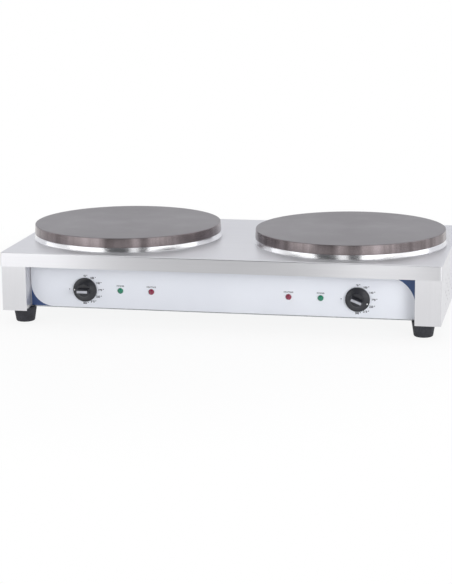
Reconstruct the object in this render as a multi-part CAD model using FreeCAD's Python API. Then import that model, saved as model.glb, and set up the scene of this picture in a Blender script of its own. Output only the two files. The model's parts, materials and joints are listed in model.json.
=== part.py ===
"""Double electric crepe maker: a stainless cabinet with two round cast iron plates.

Frame: millimetres, +X to the user's right, +Y to the back, +Z up.
The origin is on the surface it stands on, under the middle of the cabinet.
"""

import FreeCAD, Part

import math
import os

from FreeCAD import Placement, Rotation, Vector

# Cabinet
BODY_WIDTH = 908.0
BODY_DEPTH = 456.0
WORKTOP_TOP = 150.0
LIP_DROP = 29.0
SHEET = 1.2
LIP_CORNER = 4.0
LIP_EDGE = 2.5
POST_BEND = 1.0
PANEL_BEND = 1.0
SKIRT_BOTTOM = 28.0
LIP_CLEARANCE = 0.3
POST_WIDTH = 53.7
PANEL_RECESS = 34.0
PANEL_FLANGE = 15.0
SIDE_TOP_FLANGE = 14.0
BASE_FLANGE = 12.0
REAR_POST_WIDTH = 20.0
REAR_RECESS = 26.0
REAR_TAB = 20.0
SEAT_GAP = 0.1

# Side, base and rear vents
SIDE_VENT_RADIUS = 2.5
SIDE_VENT_ROWS = 5
SIDE_VENT_ROW_PITCH = 12.5
SIDE_VENT_COLUMNS = 6
SIDE_VENT_COLUMN_PITCH = 50.0
SIDE_VENT_BELOW_WORKTOP = 73.0
BASE_SLOT_LENGTH = 60.0
BASE_SLOT_WIDTH = 5.0
BASE_SLOT_PITCH = 14.0
BASE_SLOTS = 5
BASE_SLOT_SPACING = 84.0
REAR_SLOT_LENGTH = 46.0
REAR_SLOT_WIDTH = 5.0
REAR_SLOT_PITCH = 13.0
REAR_SLOTS = 4
REAR_SLOT_SPACING = 62.0
REAR_SLOT_INSIDE_PLATE = 120.0

# Feet
FOOT_HEIGHT = 31.2
FOOT_TOP_RADIUS = 24.2
FOOT_BOTTOM_RADIUS = 19.2
FOOT_EDGE = 3.5
FOOT_SIDE_INSET = 39.0
FOOT_FRONT_INSET = 37.5
FOOT_BORE_RADIUS = 7.0
FOOT_BORE_DEPTH = 14.0
FOOT_SCREW_RADIUS = 3.0
FOOT_SCREW_HEAD_RADIUS = 5.5
FOOT_SCREW_HEAD = 4.0
FOOT_SCREW_STAND = 6.0
NUT_WIDTH = 10.0
NUT_HEIGHT = 5.0
THREAD_CLEARANCE = 0.2

# Cooking plates
PLATE_RADIUS = 200.0
PLATE_THICKNESS = 20.0
PLATE_FROM_SIDE = 213.0
PLATE_SETBACK = 2.0
PLATE_EDGE = 1.6
PLATE_WEB = 9.0
PLATE_RIM_WIDTH = 12.0
PLATE_BOSS_RADIUS = 17.0
PLATE_BOSS_DEPTH = 6.0
STUD_RADIUS = 5.0
STUD_END_BELOW_WORKTOP = 36.0
RING_HEIGHT = 10.0
RING_INSET = 1.5
RING_FLARE = 4.0
RING_WAIST = 0.9
RING_WALL = 1.0
RING_BEAD = 1.4

# Heater stack under each plate
HEATER_LEDGE = 30.5
PAN_CLEARANCE = 2.0
PAN_SHEET = 0.8
PAN_DEPTH = 20.0
PAN_FLANGE_WIDTH = 14.0
INSULATION_CLEARANCE = 4.0
INSULATION_BORE_RADIUS = 12.0
CLAMP_SHEET = 1.5
CLAMP_CLEARANCE = 2.2
ELEMENT_RADIUS = 4.0
ELEMENT_INSET = 15.0
ELEMENT_LOOP_GAP = 50.0
ELEMENT_BEND = 12.0
ELEMENT_END_ANGLE = 75.0
ELEMENT_TURN_ANGLE = 105.0
ELEMENT_LEG_BELOW_PAN = 14.0
ELEMENT_PIN_RADIUS = 1.6
ELEMENT_PIN_LENGTH = 9.0
ELEMENT_HOLE_RADIUS = 5.5
TERMINAL_SLOT_WIDTH = 44.0
BRIDGE_WIDTH = 40.0
BRIDGE_SHEET = 2.0
BRIDGE_TAB = 18.0
BRIDGE_CLEARANCE = 6.0
PLATE_NUT_WIDTH = 17.0
PLATE_NUT_HEIGHT = 8.0
STUD_CLEARANCE = 0.5
LIMITER_RADIUS = 8.5
LIMITER_HEIGHT = 9.0
LIMITER_BUTTON = 3.0
LIMITER_PLACE = 62.0

# Controls, all on one line across the fascia
CONTROL_HEIGHT = 70.5
KNOB_BESIDE_PLATE = 42.0
GREEN_LAMP_BEFORE_PLATE = 33.0
RED_LAMP_BEFORE_PLATE = 98.5
OVERLAY_SHEET = 0.4
OVERLAY_MARGIN = 0.2
OVERLAY_HEIGHT = 86.0
BUSH_HOLE_RADIUS = 6.0
KNOB_RADIUS = 25.0
KNOB_HEIGHT = 25.0
KNOB_AIR = 0.8
KNOB_FLANGE = 2.6
KNOB_FLANGE_SLOPE = 0.6
KNOB_CONE_TOP_RADIUS = 14.0
KNOB_CONE_TOP = 9.5
KNOB_DISH = 0.58
KNOB_CROWN_RADIUS = 13.0
KNOB_CROWN = 11.0
KNOB_CAVITY_RADIUS = 21.0
KNOB_CAVITY = 5.0
KNOB_CAVITY_SLOPE = 4.0
GRIP_LENGTH = 26.0
GRIP_BASE_WIDTH = 13.0
GRIP_TOP_WIDTH = 7.0
GRIP_TOP_LENGTH = 24.5
GRIP_CORNER = 1.0
GRIP_EDGE = 0.5
INLAY_LENGTH = 22.0
INLAY_WIDTH = 5.0
INLAY_THICKNESS = 0.6
INLAY_PROUD = 0.15
POINTER_PLACE = 21.2
POINTER_RADIUS = 1.5
POINTER_HEIGHT = 4.8
POINTER_DEPTH = 2.0
KNOB_TURNED_RIGHT = 202.0
SHAFT_RADIUS = 3.0
SHAFT_FLAT = 1.0
SHAFT_CLEARANCE = 0.05
SHAFT_IN_BODY = 12.0
SHAFT_IN_KNOB = 19.0
BUSH_RADIUS = 5.0
BUSH_PROUD = 3.0
THERMOSTAT_WIDTH = 34.0
THERMOSTAT_HEIGHT = 44.0
THERMOSTAT_DEPTH = 30.0
THERMOSTAT_EDGE = 2.0
THERMOSTAT_PLATE_WIDTH = 44.0
THERMOSTAT_PLATE_HEIGHT = 30.0
THERMOSTAT_PLATE = 1.5
THERMOSTAT_SCREW_SPACING = 28.0
THERMOSTAT_SCREW_RADIUS = 2.0
THERMOSTAT_SCREW_HEAD_RADIUS = 3.5
THERMOSTAT_SCREW_HEAD = 2.0
TAB_WIDTH = 6.3
TAB_THICKNESS = 0.8
TAB_LENGTH = 8.0
LENS_RADIUS = 6.0
LENS_DOME = 3.0
LENS_RIM = 1.0
LAMP_BODY_RADIUS = 4.8
LAMP_BODY_LENGTH = 24.0
LAMP_NUT_WIDTH = 15.0
LAMP_NUT_HEIGHT = 3.0

# Capillary tubes from each thermostat to the bulb under its plate
CAPILLARY_RADIUS = 1.0
BULB_RADIUS = 3.0
BULB_LENGTH = 70.0
BULB_PLACE = 60.0
CAPILLARY_HOLE_RADIUS = 3.0
CAPILLARY_BEND = 12.0
CAPILLARY_TURN_RADIUS = 9.6
CAPILLARY_IN_BULB = 1.0

# Electrical entry
GLAND_FROM_POST = 102.5
GLAND_HEIGHT = 70.0
GLAND_BORE_RADIUS = 7.0
GLAND_BARREL_RADIUS = 12.0
GLAND_HEX = 30.0
GLAND_HEX_THICKNESS = 6.0
GLAND_NUT_THICKNESS = 3.6
GLAND_CAP_LENGTH = 14.0
GLAND_CAP_RADIUS = 13.5
GLAND_INSIDE_LENGTH = 12.0
BLOCK_LENGTH = 70.0
BLOCK_WIDTH = 26.0
BLOCK_HEIGHT = 24.0
BLOCK_POLES = 5
BLOCK_SCREW_RADIUS = 3.5
BLOCK_SCREW_DEPTH = 6.0
BLOCK_WIRE_RADIUS = 2.6
BLOCK_BEFORE_REAR = 64.0
EARTH_STUD_RADIUS = 3.0
EARTH_STUD_LENGTH = 16.0
EARTH_FROM_POST = 42.5
PANEL_SCREW_RADIUS = 2.0
PANEL_SCREW_HEAD_RADIUS = 3.8
PANEL_SCREW_HEAD = 2.2
PANEL_SCREW_LENGTH = 8.0

# Worked out from the sizes above
HALF_WIDTH = BODY_WIDTH / 2
HALF_DEPTH = BODY_DEPTH / 2
UNDER_WORKTOP = WORKTOP_TOP - SHEET
SIDE_OUT = HALF_WIDTH - SHEET - LIP_CLEARANCE
FRONT_OUT = -HALF_DEPTH + SHEET + LIP_CLEARANCE
REAR_OUT = HALF_DEPTH - SHEET - LIP_CLEARANCE
REAR_FACE = HALF_DEPTH - REAR_RECESS
REAR_IN = REAR_FACE - SHEET
REAR_POST_INNER = SIDE_OUT - REAR_POST_WIDTH
POST_INNER = HALF_WIDTH - POST_WIDTH
PANEL_FACE = -HALF_DEPTH + PANEL_RECESS
PANEL_BACK = PANEL_FACE + SHEET
PANEL_HALF = POST_INNER - SEAT_GAP
BASE_TOP = FOOT_HEIGHT + SHEET
OVERLAY_FACE = PANEL_FACE - OVERLAY_SHEET
PLATE_BOTTOM = WORKTOP_TOP + RING_HEIGHT
PLATE_TOP = PLATE_BOTTOM + PLATE_THICKNESS
WEB_BOTTOM = PLATE_TOP - PLATE_WEB
PLATE_OFFSET = HALF_WIDTH - PLATE_FROM_SIDE
KNOB_PLACE = PLATE_OFFSET + KNOB_BESIDE_PLATE
GREEN_LAMP_PLACE = PLATE_OFFSET - GREEN_LAMP_BEFORE_PLATE
RED_LAMP_PLACE = PLATE_OFFSET - RED_LAMP_BEFORE_PLATE
RING_TOP_RADIUS = PLATE_RADIUS - RING_INSET
HEATER_OPENING_RADIUS = RING_TOP_RADIUS - HEATER_LEDGE
GLAND_PLACE = REAR_POST_INNER - GLAND_FROM_POST
EARTH_PLACE = REAR_POST_INNER - EARTH_FROM_POST
ELEMENT_Z = WEB_BOTTOM - ELEMENT_RADIUS
CLAMP_TOP = WEB_BOTTOM - 2 * ELEMENT_RADIUS
CLAMP_BOTTOM = CLAMP_TOP - CLAMP_SHEET
PAN_RADIUS = HEATER_OPENING_RADIUS - PAN_CLEARANCE
PAN_BOTTOM = WORKTOP_TOP - PAN_DEPTH
INSULATION_RADIUS = PAN_RADIUS - PAN_SHEET - INSULATION_CLEARANCE
CLAMP_RADIUS = PAN_RADIUS - PAN_SHEET - CLAMP_CLEARANCE
ELEMENT_OUTER_LOOP = CLAMP_RADIUS - ELEMENT_INSET
ELEMENT_INNER_LOOP = ELEMENT_OUTER_LOOP - ELEMENT_LOOP_GAP
BRIDGE_REACH = HEATER_OPENING_RADIUS + BRIDGE_CLEARANCE
SPIN = Vector(0, 1, 0)


# Helpers

def block(x0, x1, y0, y1, z0, z1):
    """A box between two corners."""
    return Part.makeBox(x1 - x0, y1 - y0, z1 - z0, Vector(x0, y0, z0))


def rod(radius, length, start, axis):
    """A round bar from start along axis."""
    return Part.makeCylinder(radius, length, start, axis)


def disc(radius, z0, z1, x, y):
    """An upright round disc."""
    return rod(radius, z1 - z0, Vector(x, y, z0), Vector(0, 0, 1))


def hexagon(width, height, centre, axis):
    """A hexagonal prism, width across flats, from centre along axis."""
    corner = width / math.sqrt(3)
    points = [
        Vector(corner * math.cos(math.radians(60 * k)), corner * math.sin(math.radians(60 * k)), 0)
        for k in range(7)
    ]
    prism = Part.Face(Part.makePolygon(points)).extrude(Vector(0, 0, height))
    prism.Placement = Placement(centre, Rotation(Vector(0, 0, 1), axis))
    return prism


def upright_edges(shape):
    """The straight edges that run along Z."""
    return [e for e in shape.Edges if is_along(e, Vector(0, 0, 1))]


def is_along(edge, axis):
    if not isinstance(edge.Curve, Part.Line):
        return False
    return abs(abs(edge.Curve.Direction.dot(axis)) - 1) < 1e-6


def edges_at_top(shape):
    """The edges that lie wholly in the highest plane of the shape."""
    top = shape.BoundBox.ZMax
    return [e for e in shape.Edges if abs(e.BoundBox.ZMin - top) < 1e-6]


def turned(profile, axis_start, axis):
    """The profile wire, turned all the way round an axis."""
    return Part.Face(profile).revolve(axis_start, axis, 360)


def outline(points):
    """A closed wire of straight runs; a pair of points is an arc through the first to the second."""
    edges = []
    last = points[0]
    for point in points[1:] + [points[0]]:
        if isinstance(point, tuple):
            through, end = point
            edges.append(Part.Arc(last, through, end).toShape())
            last = end
        elif (point - last).Length > 1e-6:
            edges.append(Part.LineSegment(last, point).toShape())
            last = point
    return Part.Wire(edges)


def rounded_route(points, bend):
    """A wire through the points, straight runs joined by tangent arcs of one radius."""
    edges = []
    start = points[0]
    for before, corner, after in zip(points, points[1:], points[2:]):
        way_in = (corner - before).normalize()
        way_out = (after - corner).normalize()
        turn = way_in.getAngle(way_out)
        setback = bend * math.tan(turn / 2)
        arc_start = corner - way_in * setback
        arc_end = corner + way_out * setback
        inward = (way_out - way_in).normalize()
        middle = corner + inward * (bend / math.cos(turn / 2) - bend)
        edges.append(Part.LineSegment(start, arc_start).toShape())
        edges.append(Part.Arc(arc_start, middle, arc_end).toShape())
        start = arc_end
    edges.append(Part.LineSegment(start, points[-1]).toShape())
    return Part.Wire(edges)


def tube(route, radius):
    """A round bar swept along a smooth wire."""
    first = route.OrderedEdges[0]
    start = first.valueAt(first.FirstParameter)
    along = first.tangentAt(first.FirstParameter)
    section = Part.Wire(Part.makeCircle(radius, start, along))
    return route.makePipeShell([section], True, False)


def slot_cutter(length, width, depth, centre, along, through):
    """A round-ended slot: its length lies along one axis and it cuts along the other."""
    across = through.cross(along)
    half = (length - width) / 2
    radius = width / 2
    wire = outline([
        centre - along * half - across * radius,
        centre + along * half - across * radius,
        (centre + along * (half + radius), centre + along * half + across * radius),
        centre - along * half + across * radius,
        (centre - along * (half + radius), centre - along * half - across * radius),
    ])
    cutter = Part.Face(wire).extrude(through * depth)
    cutter.translate(through * (-depth / 2))
    return cutter


def mirrored(shape):
    """The same piece on the other side of the cabinet."""
    return shape.mirror(Vector(0, 0, 0), Vector(1, 0, 0))


def save(name, *solids):
    """Writes one sub-part; several solids of one kind share a file."""
    shape = solids[0] if len(solids) == 1 else Part.makeCompound(list(solids))
    shape = shape.removeSplitter() if len(solids) == 1 else shape
    shape.exportStep(os.path.join("parts", name + ".step"))


# Cabinet

def worktop():
    """The folded tray on top: a lip all round and an opening under each plate."""
    outer = block(-HALF_WIDTH, HALF_WIDTH, -HALF_DEPTH, HALF_DEPTH, WORKTOP_TOP - LIP_DROP, WORKTOP_TOP)
    outer = outer.makeFillet(LIP_CORNER, upright_edges(outer))
    outer = outer.makeFillet(LIP_EDGE, edges_at_top(outer))
    inner = block(
        -HALF_WIDTH + SHEET, HALF_WIDTH - SHEET, -HALF_DEPTH + SHEET, HALF_DEPTH - SHEET,
        WORKTOP_TOP - LIP_DROP - SHEET, UNDER_WORKTOP,
    )
    inner = inner.makeFillet(LIP_CORNER - SHEET, upright_edges(inner))
    inner = inner.makeFillet(LIP_EDGE - SHEET, edges_at_top(inner))
    tray = outer.cut(inner)
    for side in (-1, 1):
        opening = disc(
            HEATER_OPENING_RADIUS, UNDER_WORKTOP - 1, WORKTOP_TOP + 1, side * PLATE_OFFSET, PLATE_SETBACK
        )
        tray = tray.cut(opening)
    return tray


def side_vents():
    """Staggered rows of round holes through the side sheet."""
    cutters = []
    for row in range(SIDE_VENT_ROWS):
        z = WORKTOP_TOP - SIDE_VENT_BELOW_WORKTOP + (row - (SIDE_VENT_ROWS - 1) / 2) * SIDE_VENT_ROW_PITCH
        count = SIDE_VENT_COLUMNS - row % 2
        for column in range(count):
            y = (column - (count - 1) / 2) * SIDE_VENT_COLUMN_PITCH
            start = Vector(SIDE_OUT - 2 * SHEET, y, z)
            cutters.append(rod(SIDE_VENT_RADIUS, 3 * SHEET, start, Vector(1, 0, 0)))
    return Part.makeCompound(cutters)


def lip_space():
    """The space under the worktop that the side panels may fill, with its rounded edges."""
    space = block(-SIDE_OUT, SIDE_OUT, FRONT_OUT, REAR_OUT, 0, UNDER_WORKTOP)
    space = space.makeFillet(LIP_CORNER - SHEET - LIP_CLEARANCE, upright_edges(space))
    return space.makeFillet(LIP_EDGE - SHEET, edges_at_top(space))


def right_side_panel():
    """One bent sheet: vented side, front post with its return, and a stepped rear edge."""
    def wall(x0, x1, y0, y1, bottom):
        return block(x0, x1, y0, y1, bottom, UNDER_WORKTOP)

    web = wall(SIDE_OUT - SHEET, SIDE_OUT, FRONT_OUT, REAR_OUT, SKIRT_BOTTOM)
    bent = [
        wall(POST_INNER, SIDE_OUT, FRONT_OUT, FRONT_OUT + SHEET, SKIRT_BOTTOM),
        wall(POST_INNER, POST_INNER + SHEET, FRONT_OUT, PANEL_FACE + PANEL_FLANGE, BASE_TOP),
        wall(REAR_POST_INNER, SIDE_OUT, REAR_OUT - SHEET, REAR_OUT, SKIRT_BOTTOM),
        wall(REAR_POST_INNER, REAR_POST_INNER + SHEET, REAR_IN - SHEET, REAR_OUT, BASE_TOP),
        wall(REAR_POST_INNER - REAR_TAB, REAR_POST_INNER + SHEET, REAR_IN - SHEET, REAR_IN, BASE_TOP),
        block(
            SIDE_OUT - SIDE_TOP_FLANGE, SIDE_OUT, FRONT_OUT, REAR_OUT,
            UNDER_WORKTOP - SHEET, UNDER_WORKTOP,
        ),
    ]
    panel = web.multiFuse(bent).removeSplitter()
    post_edge = [
        e for e in upright_edges(panel)
        if abs(e.Vertexes[0].Y - FRONT_OUT) < 1e-6 and abs(e.Vertexes[0].X - POST_INNER) < 1e-6
    ]
    panel = panel.makeFillet(POST_BEND, post_edge)
    return panel.common(lip_space()).cut(side_vents())


def control_holes(hole_radius_knob, hole_radius_lamp, y0, y1):
    """Cutters for the two bushes and the four lamps."""
    holes = []
    for side in (-1, 1):
        for place, radius in (
            (KNOB_PLACE, hole_radius_knob),
            (GREEN_LAMP_PLACE, hole_radius_lamp),
            (RED_LAMP_PLACE, hole_radius_lamp),
        ):
            holes.append(rod(radius, y1 - y0, Vector(side * place, y0, CONTROL_HEIGHT), SPIN))
    return holes


def thermostat_screw_centres():
    for side in (-1, 1):
        for end in (-1, 1):
            yield Vector(side * KNOB_PLACE + end * THERMOSTAT_SCREW_SPACING / 2, 0, CONTROL_HEIGHT)


def front_panel():
    """A shallow pan behind the posts: its face carries the controls."""
    outer = block(
        -PANEL_HALF, PANEL_HALF, PANEL_FACE, PANEL_FACE + PANEL_FLANGE, BASE_TOP, UNDER_WORKTOP
    )
    face_edges = [e for e in outer.Edges if abs(e.BoundBox.YMax - PANEL_FACE) < 1e-6]
    outer = outer.makeFillet(PANEL_BEND, face_edges)
    inner = block(
        -PANEL_HALF + SHEET, PANEL_HALF - SHEET, PANEL_BACK, PANEL_FACE + 2 * PANEL_FLANGE,
        BASE_TOP + SHEET, UNDER_WORKTOP - SHEET,
    )
    panel = outer.cut(inner)
    for hole in control_holes(BUSH_HOLE_RADIUS, LAMP_BODY_RADIUS + THREAD_CLEARANCE,
                              PANEL_FACE - 1, PANEL_BACK + 1):
        panel = panel.cut(hole)
    for centre in thermostat_screw_centres():
        start = Vector(centre.x, PANEL_FACE - 1, centre.z)
        panel = panel.cut(rod(THERMOSTAT_SCREW_RADIUS + THREAD_CLEARANCE, SHEET + 2, start, SPIN))
    return panel


def fascia_overlay():
    """The printed film on the face of the front panel."""
    margin = PANEL_BEND + OVERLAY_MARGIN
    film = block(
        -PANEL_HALF + margin, PANEL_HALF - margin, OVERLAY_FACE, PANEL_FACE,
        BASE_TOP + margin, BASE_TOP + margin + OVERLAY_HEIGHT,
    )
    for hole in control_holes(KNOB_CAVITY_RADIUS, LAMP_BODY_RADIUS + THREAD_CLEARANCE,
                              OVERLAY_FACE - 1, PANEL_FACE + 1):
        film = film.cut(hole)
    return film


def rear_panel():
    """The flat back sheet, with cooling slots behind each plate and the cable entry."""
    half = REAR_POST_INNER - SEAT_GAP
    sheet = block(-half, half, REAR_IN, REAR_FACE, BASE_TOP, UNDER_WORKTOP)
    middle = (REAR_IN + REAR_FACE) / 2
    for side in (-1, 1):
        for column in (-1, 0, 1):
            for row in range(REAR_SLOTS):
                z = CONTROL_HEIGHT + (row - (REAR_SLOTS - 1) / 2) * REAR_SLOT_PITCH
                x = side * (PLATE_OFFSET - REAR_SLOT_INSIDE_PLATE) + column * REAR_SLOT_SPACING
                centre = Vector(x, middle, z)
                sheet = sheet.cut(slot_cutter(
                    REAR_SLOT_LENGTH, REAR_SLOT_WIDTH, 4 * SHEET, centre, Vector(1, 0, 0), SPIN
                ))
    gland_hole = rod(
        GLAND_BARREL_RADIUS + THREAD_CLEARANCE, 4 * SHEET,
        Vector(GLAND_PLACE, middle - 2 * SHEET, GLAND_HEIGHT), SPIN,
    )
    earth_hole = rod(
        EARTH_STUD_RADIUS + THREAD_CLEARANCE, 4 * SHEET,
        Vector(EARTH_PLACE, middle - 2 * SHEET, GLAND_HEIGHT), SPIN,
    )
    sheet = sheet.cut(gland_hole).cut(earth_hole)
    for start in panel_screw_starts():
        sheet = sheet.cut(rod(
            PANEL_SCREW_RADIUS + THREAD_CLEARANCE, 4 * SHEET, start - SPIN * 2 * SHEET, SPIN
        ))
    return sheet


def base_plate():
    """The tray that carries everything: between the posts at the front, with wings over the feet."""
    side_in = SIDE_OUT - SHEET

    def floor(x0, x1, y0, y1):
        return block(x0, x1, y0, y1, FOOT_HEIGHT, BASE_TOP)

    tray = floor(-REAR_POST_INNER, REAR_POST_INNER, PANEL_FACE, REAR_FACE)
    pieces = []
    for side in (-1, 1):
        x0, x1 = sorted((side * POST_INNER, side * side_in))
        pieces.append(floor(x0, x1, FRONT_OUT + SHEET, REAR_OUT - SHEET))
        x0, x1 = sorted((side * (side_in - SHEET), side * side_in))
        pieces.append(block(x0, x1, PANEL_FACE, REAR_IN - SHEET, FOOT_HEIGHT, BASE_TOP + BASE_FLANGE))
    tray = tray.multiFuse(pieces).removeSplitter()
    middle = FOOT_HEIGHT + SHEET / 2
    for side in (-1, 1):
        for bank in (-1, 1):
            for row in range(BASE_SLOTS):
                x = side * PLATE_OFFSET + bank * BASE_SLOT_SPACING / 2
                y = PLATE_SETBACK + (row - (BASE_SLOTS - 1) / 2) * BASE_SLOT_PITCH
                tray = tray.cut(slot_cutter(
                    BASE_SLOT_LENGTH, BASE_SLOT_WIDTH, 4 * SHEET, Vector(x, y, middle),
                    Vector(1, 0, 0), Vector(0, 0, 1),
                ))
        for y in foot_rows():
            hole = disc(
                FOOT_SCREW_RADIUS + THREAD_CLEARANCE, SKIRT_BOTTOM, BASE_TOP + 1, side * foot_x(), y
            )
            tray = tray.cut(hole)
    return tray


# Feet

def foot_x():
    return HALF_WIDTH - FOOT_SIDE_INSET


def foot_rows():
    return (-HALF_DEPTH + FOOT_FRONT_INSET, HALF_DEPTH - FOOT_FRONT_INSET)


def foot(x, y):
    """A tapered rubber foot with a blind bore from below for its screw head."""
    cone = Part.makeCone(FOOT_BOTTOM_RADIUS, FOOT_TOP_RADIUS, FOOT_HEIGHT)
    rim = [e for e in cone.Edges if e.BoundBox.ZMax < 1e-6]
    cone = cone.makeFillet(FOOT_EDGE, rim)
    cone = cone.cut(disc(FOOT_BORE_RADIUS, -1, FOOT_BORE_DEPTH, 0, 0))
    cone = cone.cut(disc(FOOT_SCREW_RADIUS + THREAD_CLEARANCE, 0, FOOT_HEIGHT + 1, 0, 0))
    cone.translate(Vector(x, y, 0))
    return cone


def foot_screw(x, y):
    """The screw up through a foot and the base plate's wing, with its nut."""
    head = disc(FOOT_SCREW_HEAD_RADIUS, FOOT_BORE_DEPTH - FOOT_SCREW_HEAD, FOOT_BORE_DEPTH, x, y)
    nut_bottom = BASE_TOP
    nut = hexagon(NUT_WIDTH, NUT_HEIGHT, Vector(x, y, nut_bottom), Vector(0, 0, 1))
    shank = disc(FOOT_SCREW_RADIUS, FOOT_BORE_DEPTH - 1, nut_bottom + FOOT_SCREW_STAND, x, y)
    return head.multiFuse([shank, nut]).removeSplitter()


# Cooking plate and what is under it, built round the origin and set down by place()

def place(shape, side):
    """Moves a piece that was built round the plate's axis to its side of the cabinet."""
    moved = shape.copy() if side > 0 else mirrored(shape)
    moved.translate(Vector(side * PLATE_OFFSET, PLATE_SETBACK, 0))
    return moved


def cooking_plate():
    """The turned cast iron plate: flat face, deep rim, and a boss with the fixing stud."""
    rim_in = PLATE_RADIUS - PLATE_RIM_WIDTH
    soft = PLATE_EDGE * (1 - math.sqrt(0.5))
    boss_bottom = WEB_BOTTOM - PLATE_BOSS_DEPTH
    stud_bottom = WORKTOP_TOP - STUD_END_BELOW_WORKTOP
    profile = outline([
        Vector(0, 0, stud_bottom),
        Vector(STUD_RADIUS, 0, stud_bottom),
        Vector(STUD_RADIUS, 0, boss_bottom),
        Vector(PLATE_BOSS_RADIUS, 0, boss_bottom),
        Vector(PLATE_BOSS_RADIUS + PLATE_EDGE, 0, WEB_BOTTOM),
        Vector(rim_in - PLATE_EDGE, 0, WEB_BOTTOM),
        Vector(rim_in, 0, PLATE_BOTTOM),
        Vector(PLATE_RADIUS, 0, PLATE_BOTTOM),
        Vector(PLATE_RADIUS, 0, PLATE_TOP - PLATE_EDGE),
        (
            Vector(PLATE_RADIUS - soft, 0, PLATE_TOP - soft),
            Vector(PLATE_RADIUS - PLATE_EDGE, 0, PLATE_TOP),
        ),
        Vector(0, 0, PLATE_TOP),
    ])
    return turned(profile, Vector(0, 0, 0), Vector(0, 0, 1))


def plate_ring():
    """The polished skirt between worktop and plate: a flared wall on a rolled bead."""
    foot_radius = RING_TOP_RADIUS + RING_FLARE
    bead = RING_BEAD / 2
    middle = Vector(RING_TOP_RADIUS + RING_WAIST, 0, (WORKTOP_TOP + RING_BEAD + PLATE_BOTTOM) / 2)
    profile = outline([
        Vector(RING_TOP_RADIUS - RING_WALL, 0, PLATE_BOTTOM),
        Vector(RING_TOP_RADIUS, 0, PLATE_BOTTOM),
        (middle, Vector(foot_radius - bead, 0, WORKTOP_TOP + RING_BEAD)),
        (Vector(foot_radius, 0, WORKTOP_TOP + bead), Vector(foot_radius - bead, 0, WORKTOP_TOP)),
        Vector(RING_TOP_RADIUS - RING_WALL, 0, WORKTOP_TOP),
    ])
    return turned(profile, Vector(0, 0, 0), Vector(0, 0, 1))


def leg_centres():
    """Where the two ends of the element turn down, on the plate's axis frame."""
    angle = math.radians(ELEMENT_END_ANGLE)
    outward = Vector(math.cos(angle), math.sin(angle), 0)
    forward = Vector(math.sin(angle), -math.cos(angle), 0)
    return [outward * radius - forward * ELEMENT_BEND for radius in (ELEMENT_OUTER_LOOP, ELEMENT_INNER_LOOP)]


def terminal_slot(z0, z1):
    """A radial cut that lets the element's bent ends pass."""
    cutter = block(
        ELEMENT_INNER_LOOP - TERMINAL_SLOT_WIDTH / 4, ELEMENT_OUTER_LOOP + 2 * ELEMENT_RADIUS,
        -TERMINAL_SLOT_WIDTH / 2 + ELEMENT_BEND, TERMINAL_SLOT_WIDTH / 2, z0, z1,
    )
    cutter.rotate(Vector(0, 0, 0), Vector(0, 0, 1), ELEMENT_END_ANGLE)
    return cutter


def heater_pan():
    """The dish that hangs in the worktop opening and holds the insulation."""
    flange_out = PAN_RADIUS + PAN_CLEARANCE + PAN_FLANGE_WIDTH
    profile = outline([
        Vector(STUD_RADIUS + STUD_CLEARANCE, 0, PAN_BOTTOM),
        Vector(PAN_RADIUS, 0, PAN_BOTTOM),
        Vector(PAN_RADIUS, 0, WORKTOP_TOP),
        Vector(flange_out, 0, WORKTOP_TOP),
        Vector(flange_out, 0, WORKTOP_TOP + PAN_SHEET),
        Vector(PAN_RADIUS - PAN_SHEET, 0, WORKTOP_TOP + PAN_SHEET),
        Vector(PAN_RADIUS - PAN_SHEET, 0, PAN_BOTTOM + PAN_SHEET),
        Vector(STUD_RADIUS + STUD_CLEARANCE, 0, PAN_BOTTOM + PAN_SHEET),
    ])
    pan = turned(profile, Vector(0, 0, 0), Vector(0, 0, 1))
    for centre in leg_centres():
        pan = pan.cut(disc(ELEMENT_HOLE_RADIUS, PAN_BOTTOM - 1, PAN_BOTTOM + 2, centre.x, centre.y))
    return pan.cut(disc(CAPILLARY_HOLE_RADIUS, PAN_BOTTOM - 1, PAN_BOTTOM + 2, *capillary_rise()))


def insulation():
    """The ceramic fibre pad in the pan."""
    pad = disc(INSULATION_RADIUS, PAN_BOTTOM + PAN_SHEET, CLAMP_BOTTOM, 0, 0)
    pad = pad.cut(disc(INSULATION_BORE_RADIUS, 0, PLATE_TOP, 0, 0))
    pad = pad.cut(terminal_slot(0, PLATE_TOP))
    return pad.cut(disc(CAPILLARY_HOLE_RADIUS, 0, PLATE_TOP, *capillary_rise()))


def element_clamp():
    """The steel disc that presses the element against the plate."""
    clamp = disc(CLAMP_RADIUS, CLAMP_BOTTOM, CLAMP_TOP, 0, 0)
    clamp = clamp.cut(disc(STUD_RADIUS + STUD_CLEARANCE, 0, PLATE_TOP, 0, 0))
    clamp = clamp.cut(terminal_slot(0, PLATE_TOP))
    x, y = capillary_rise()
    gap = block(
        x - CAPILLARY_HOLE_RADIUS, x + CAPILLARY_BEND + BULB_RADIUS,
        y - CAPILLARY_HOLE_RADIUS, y + CAPILLARY_HOLE_RADIUS, 0, PLATE_TOP,
    )
    return clamp.cut(gap)


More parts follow.
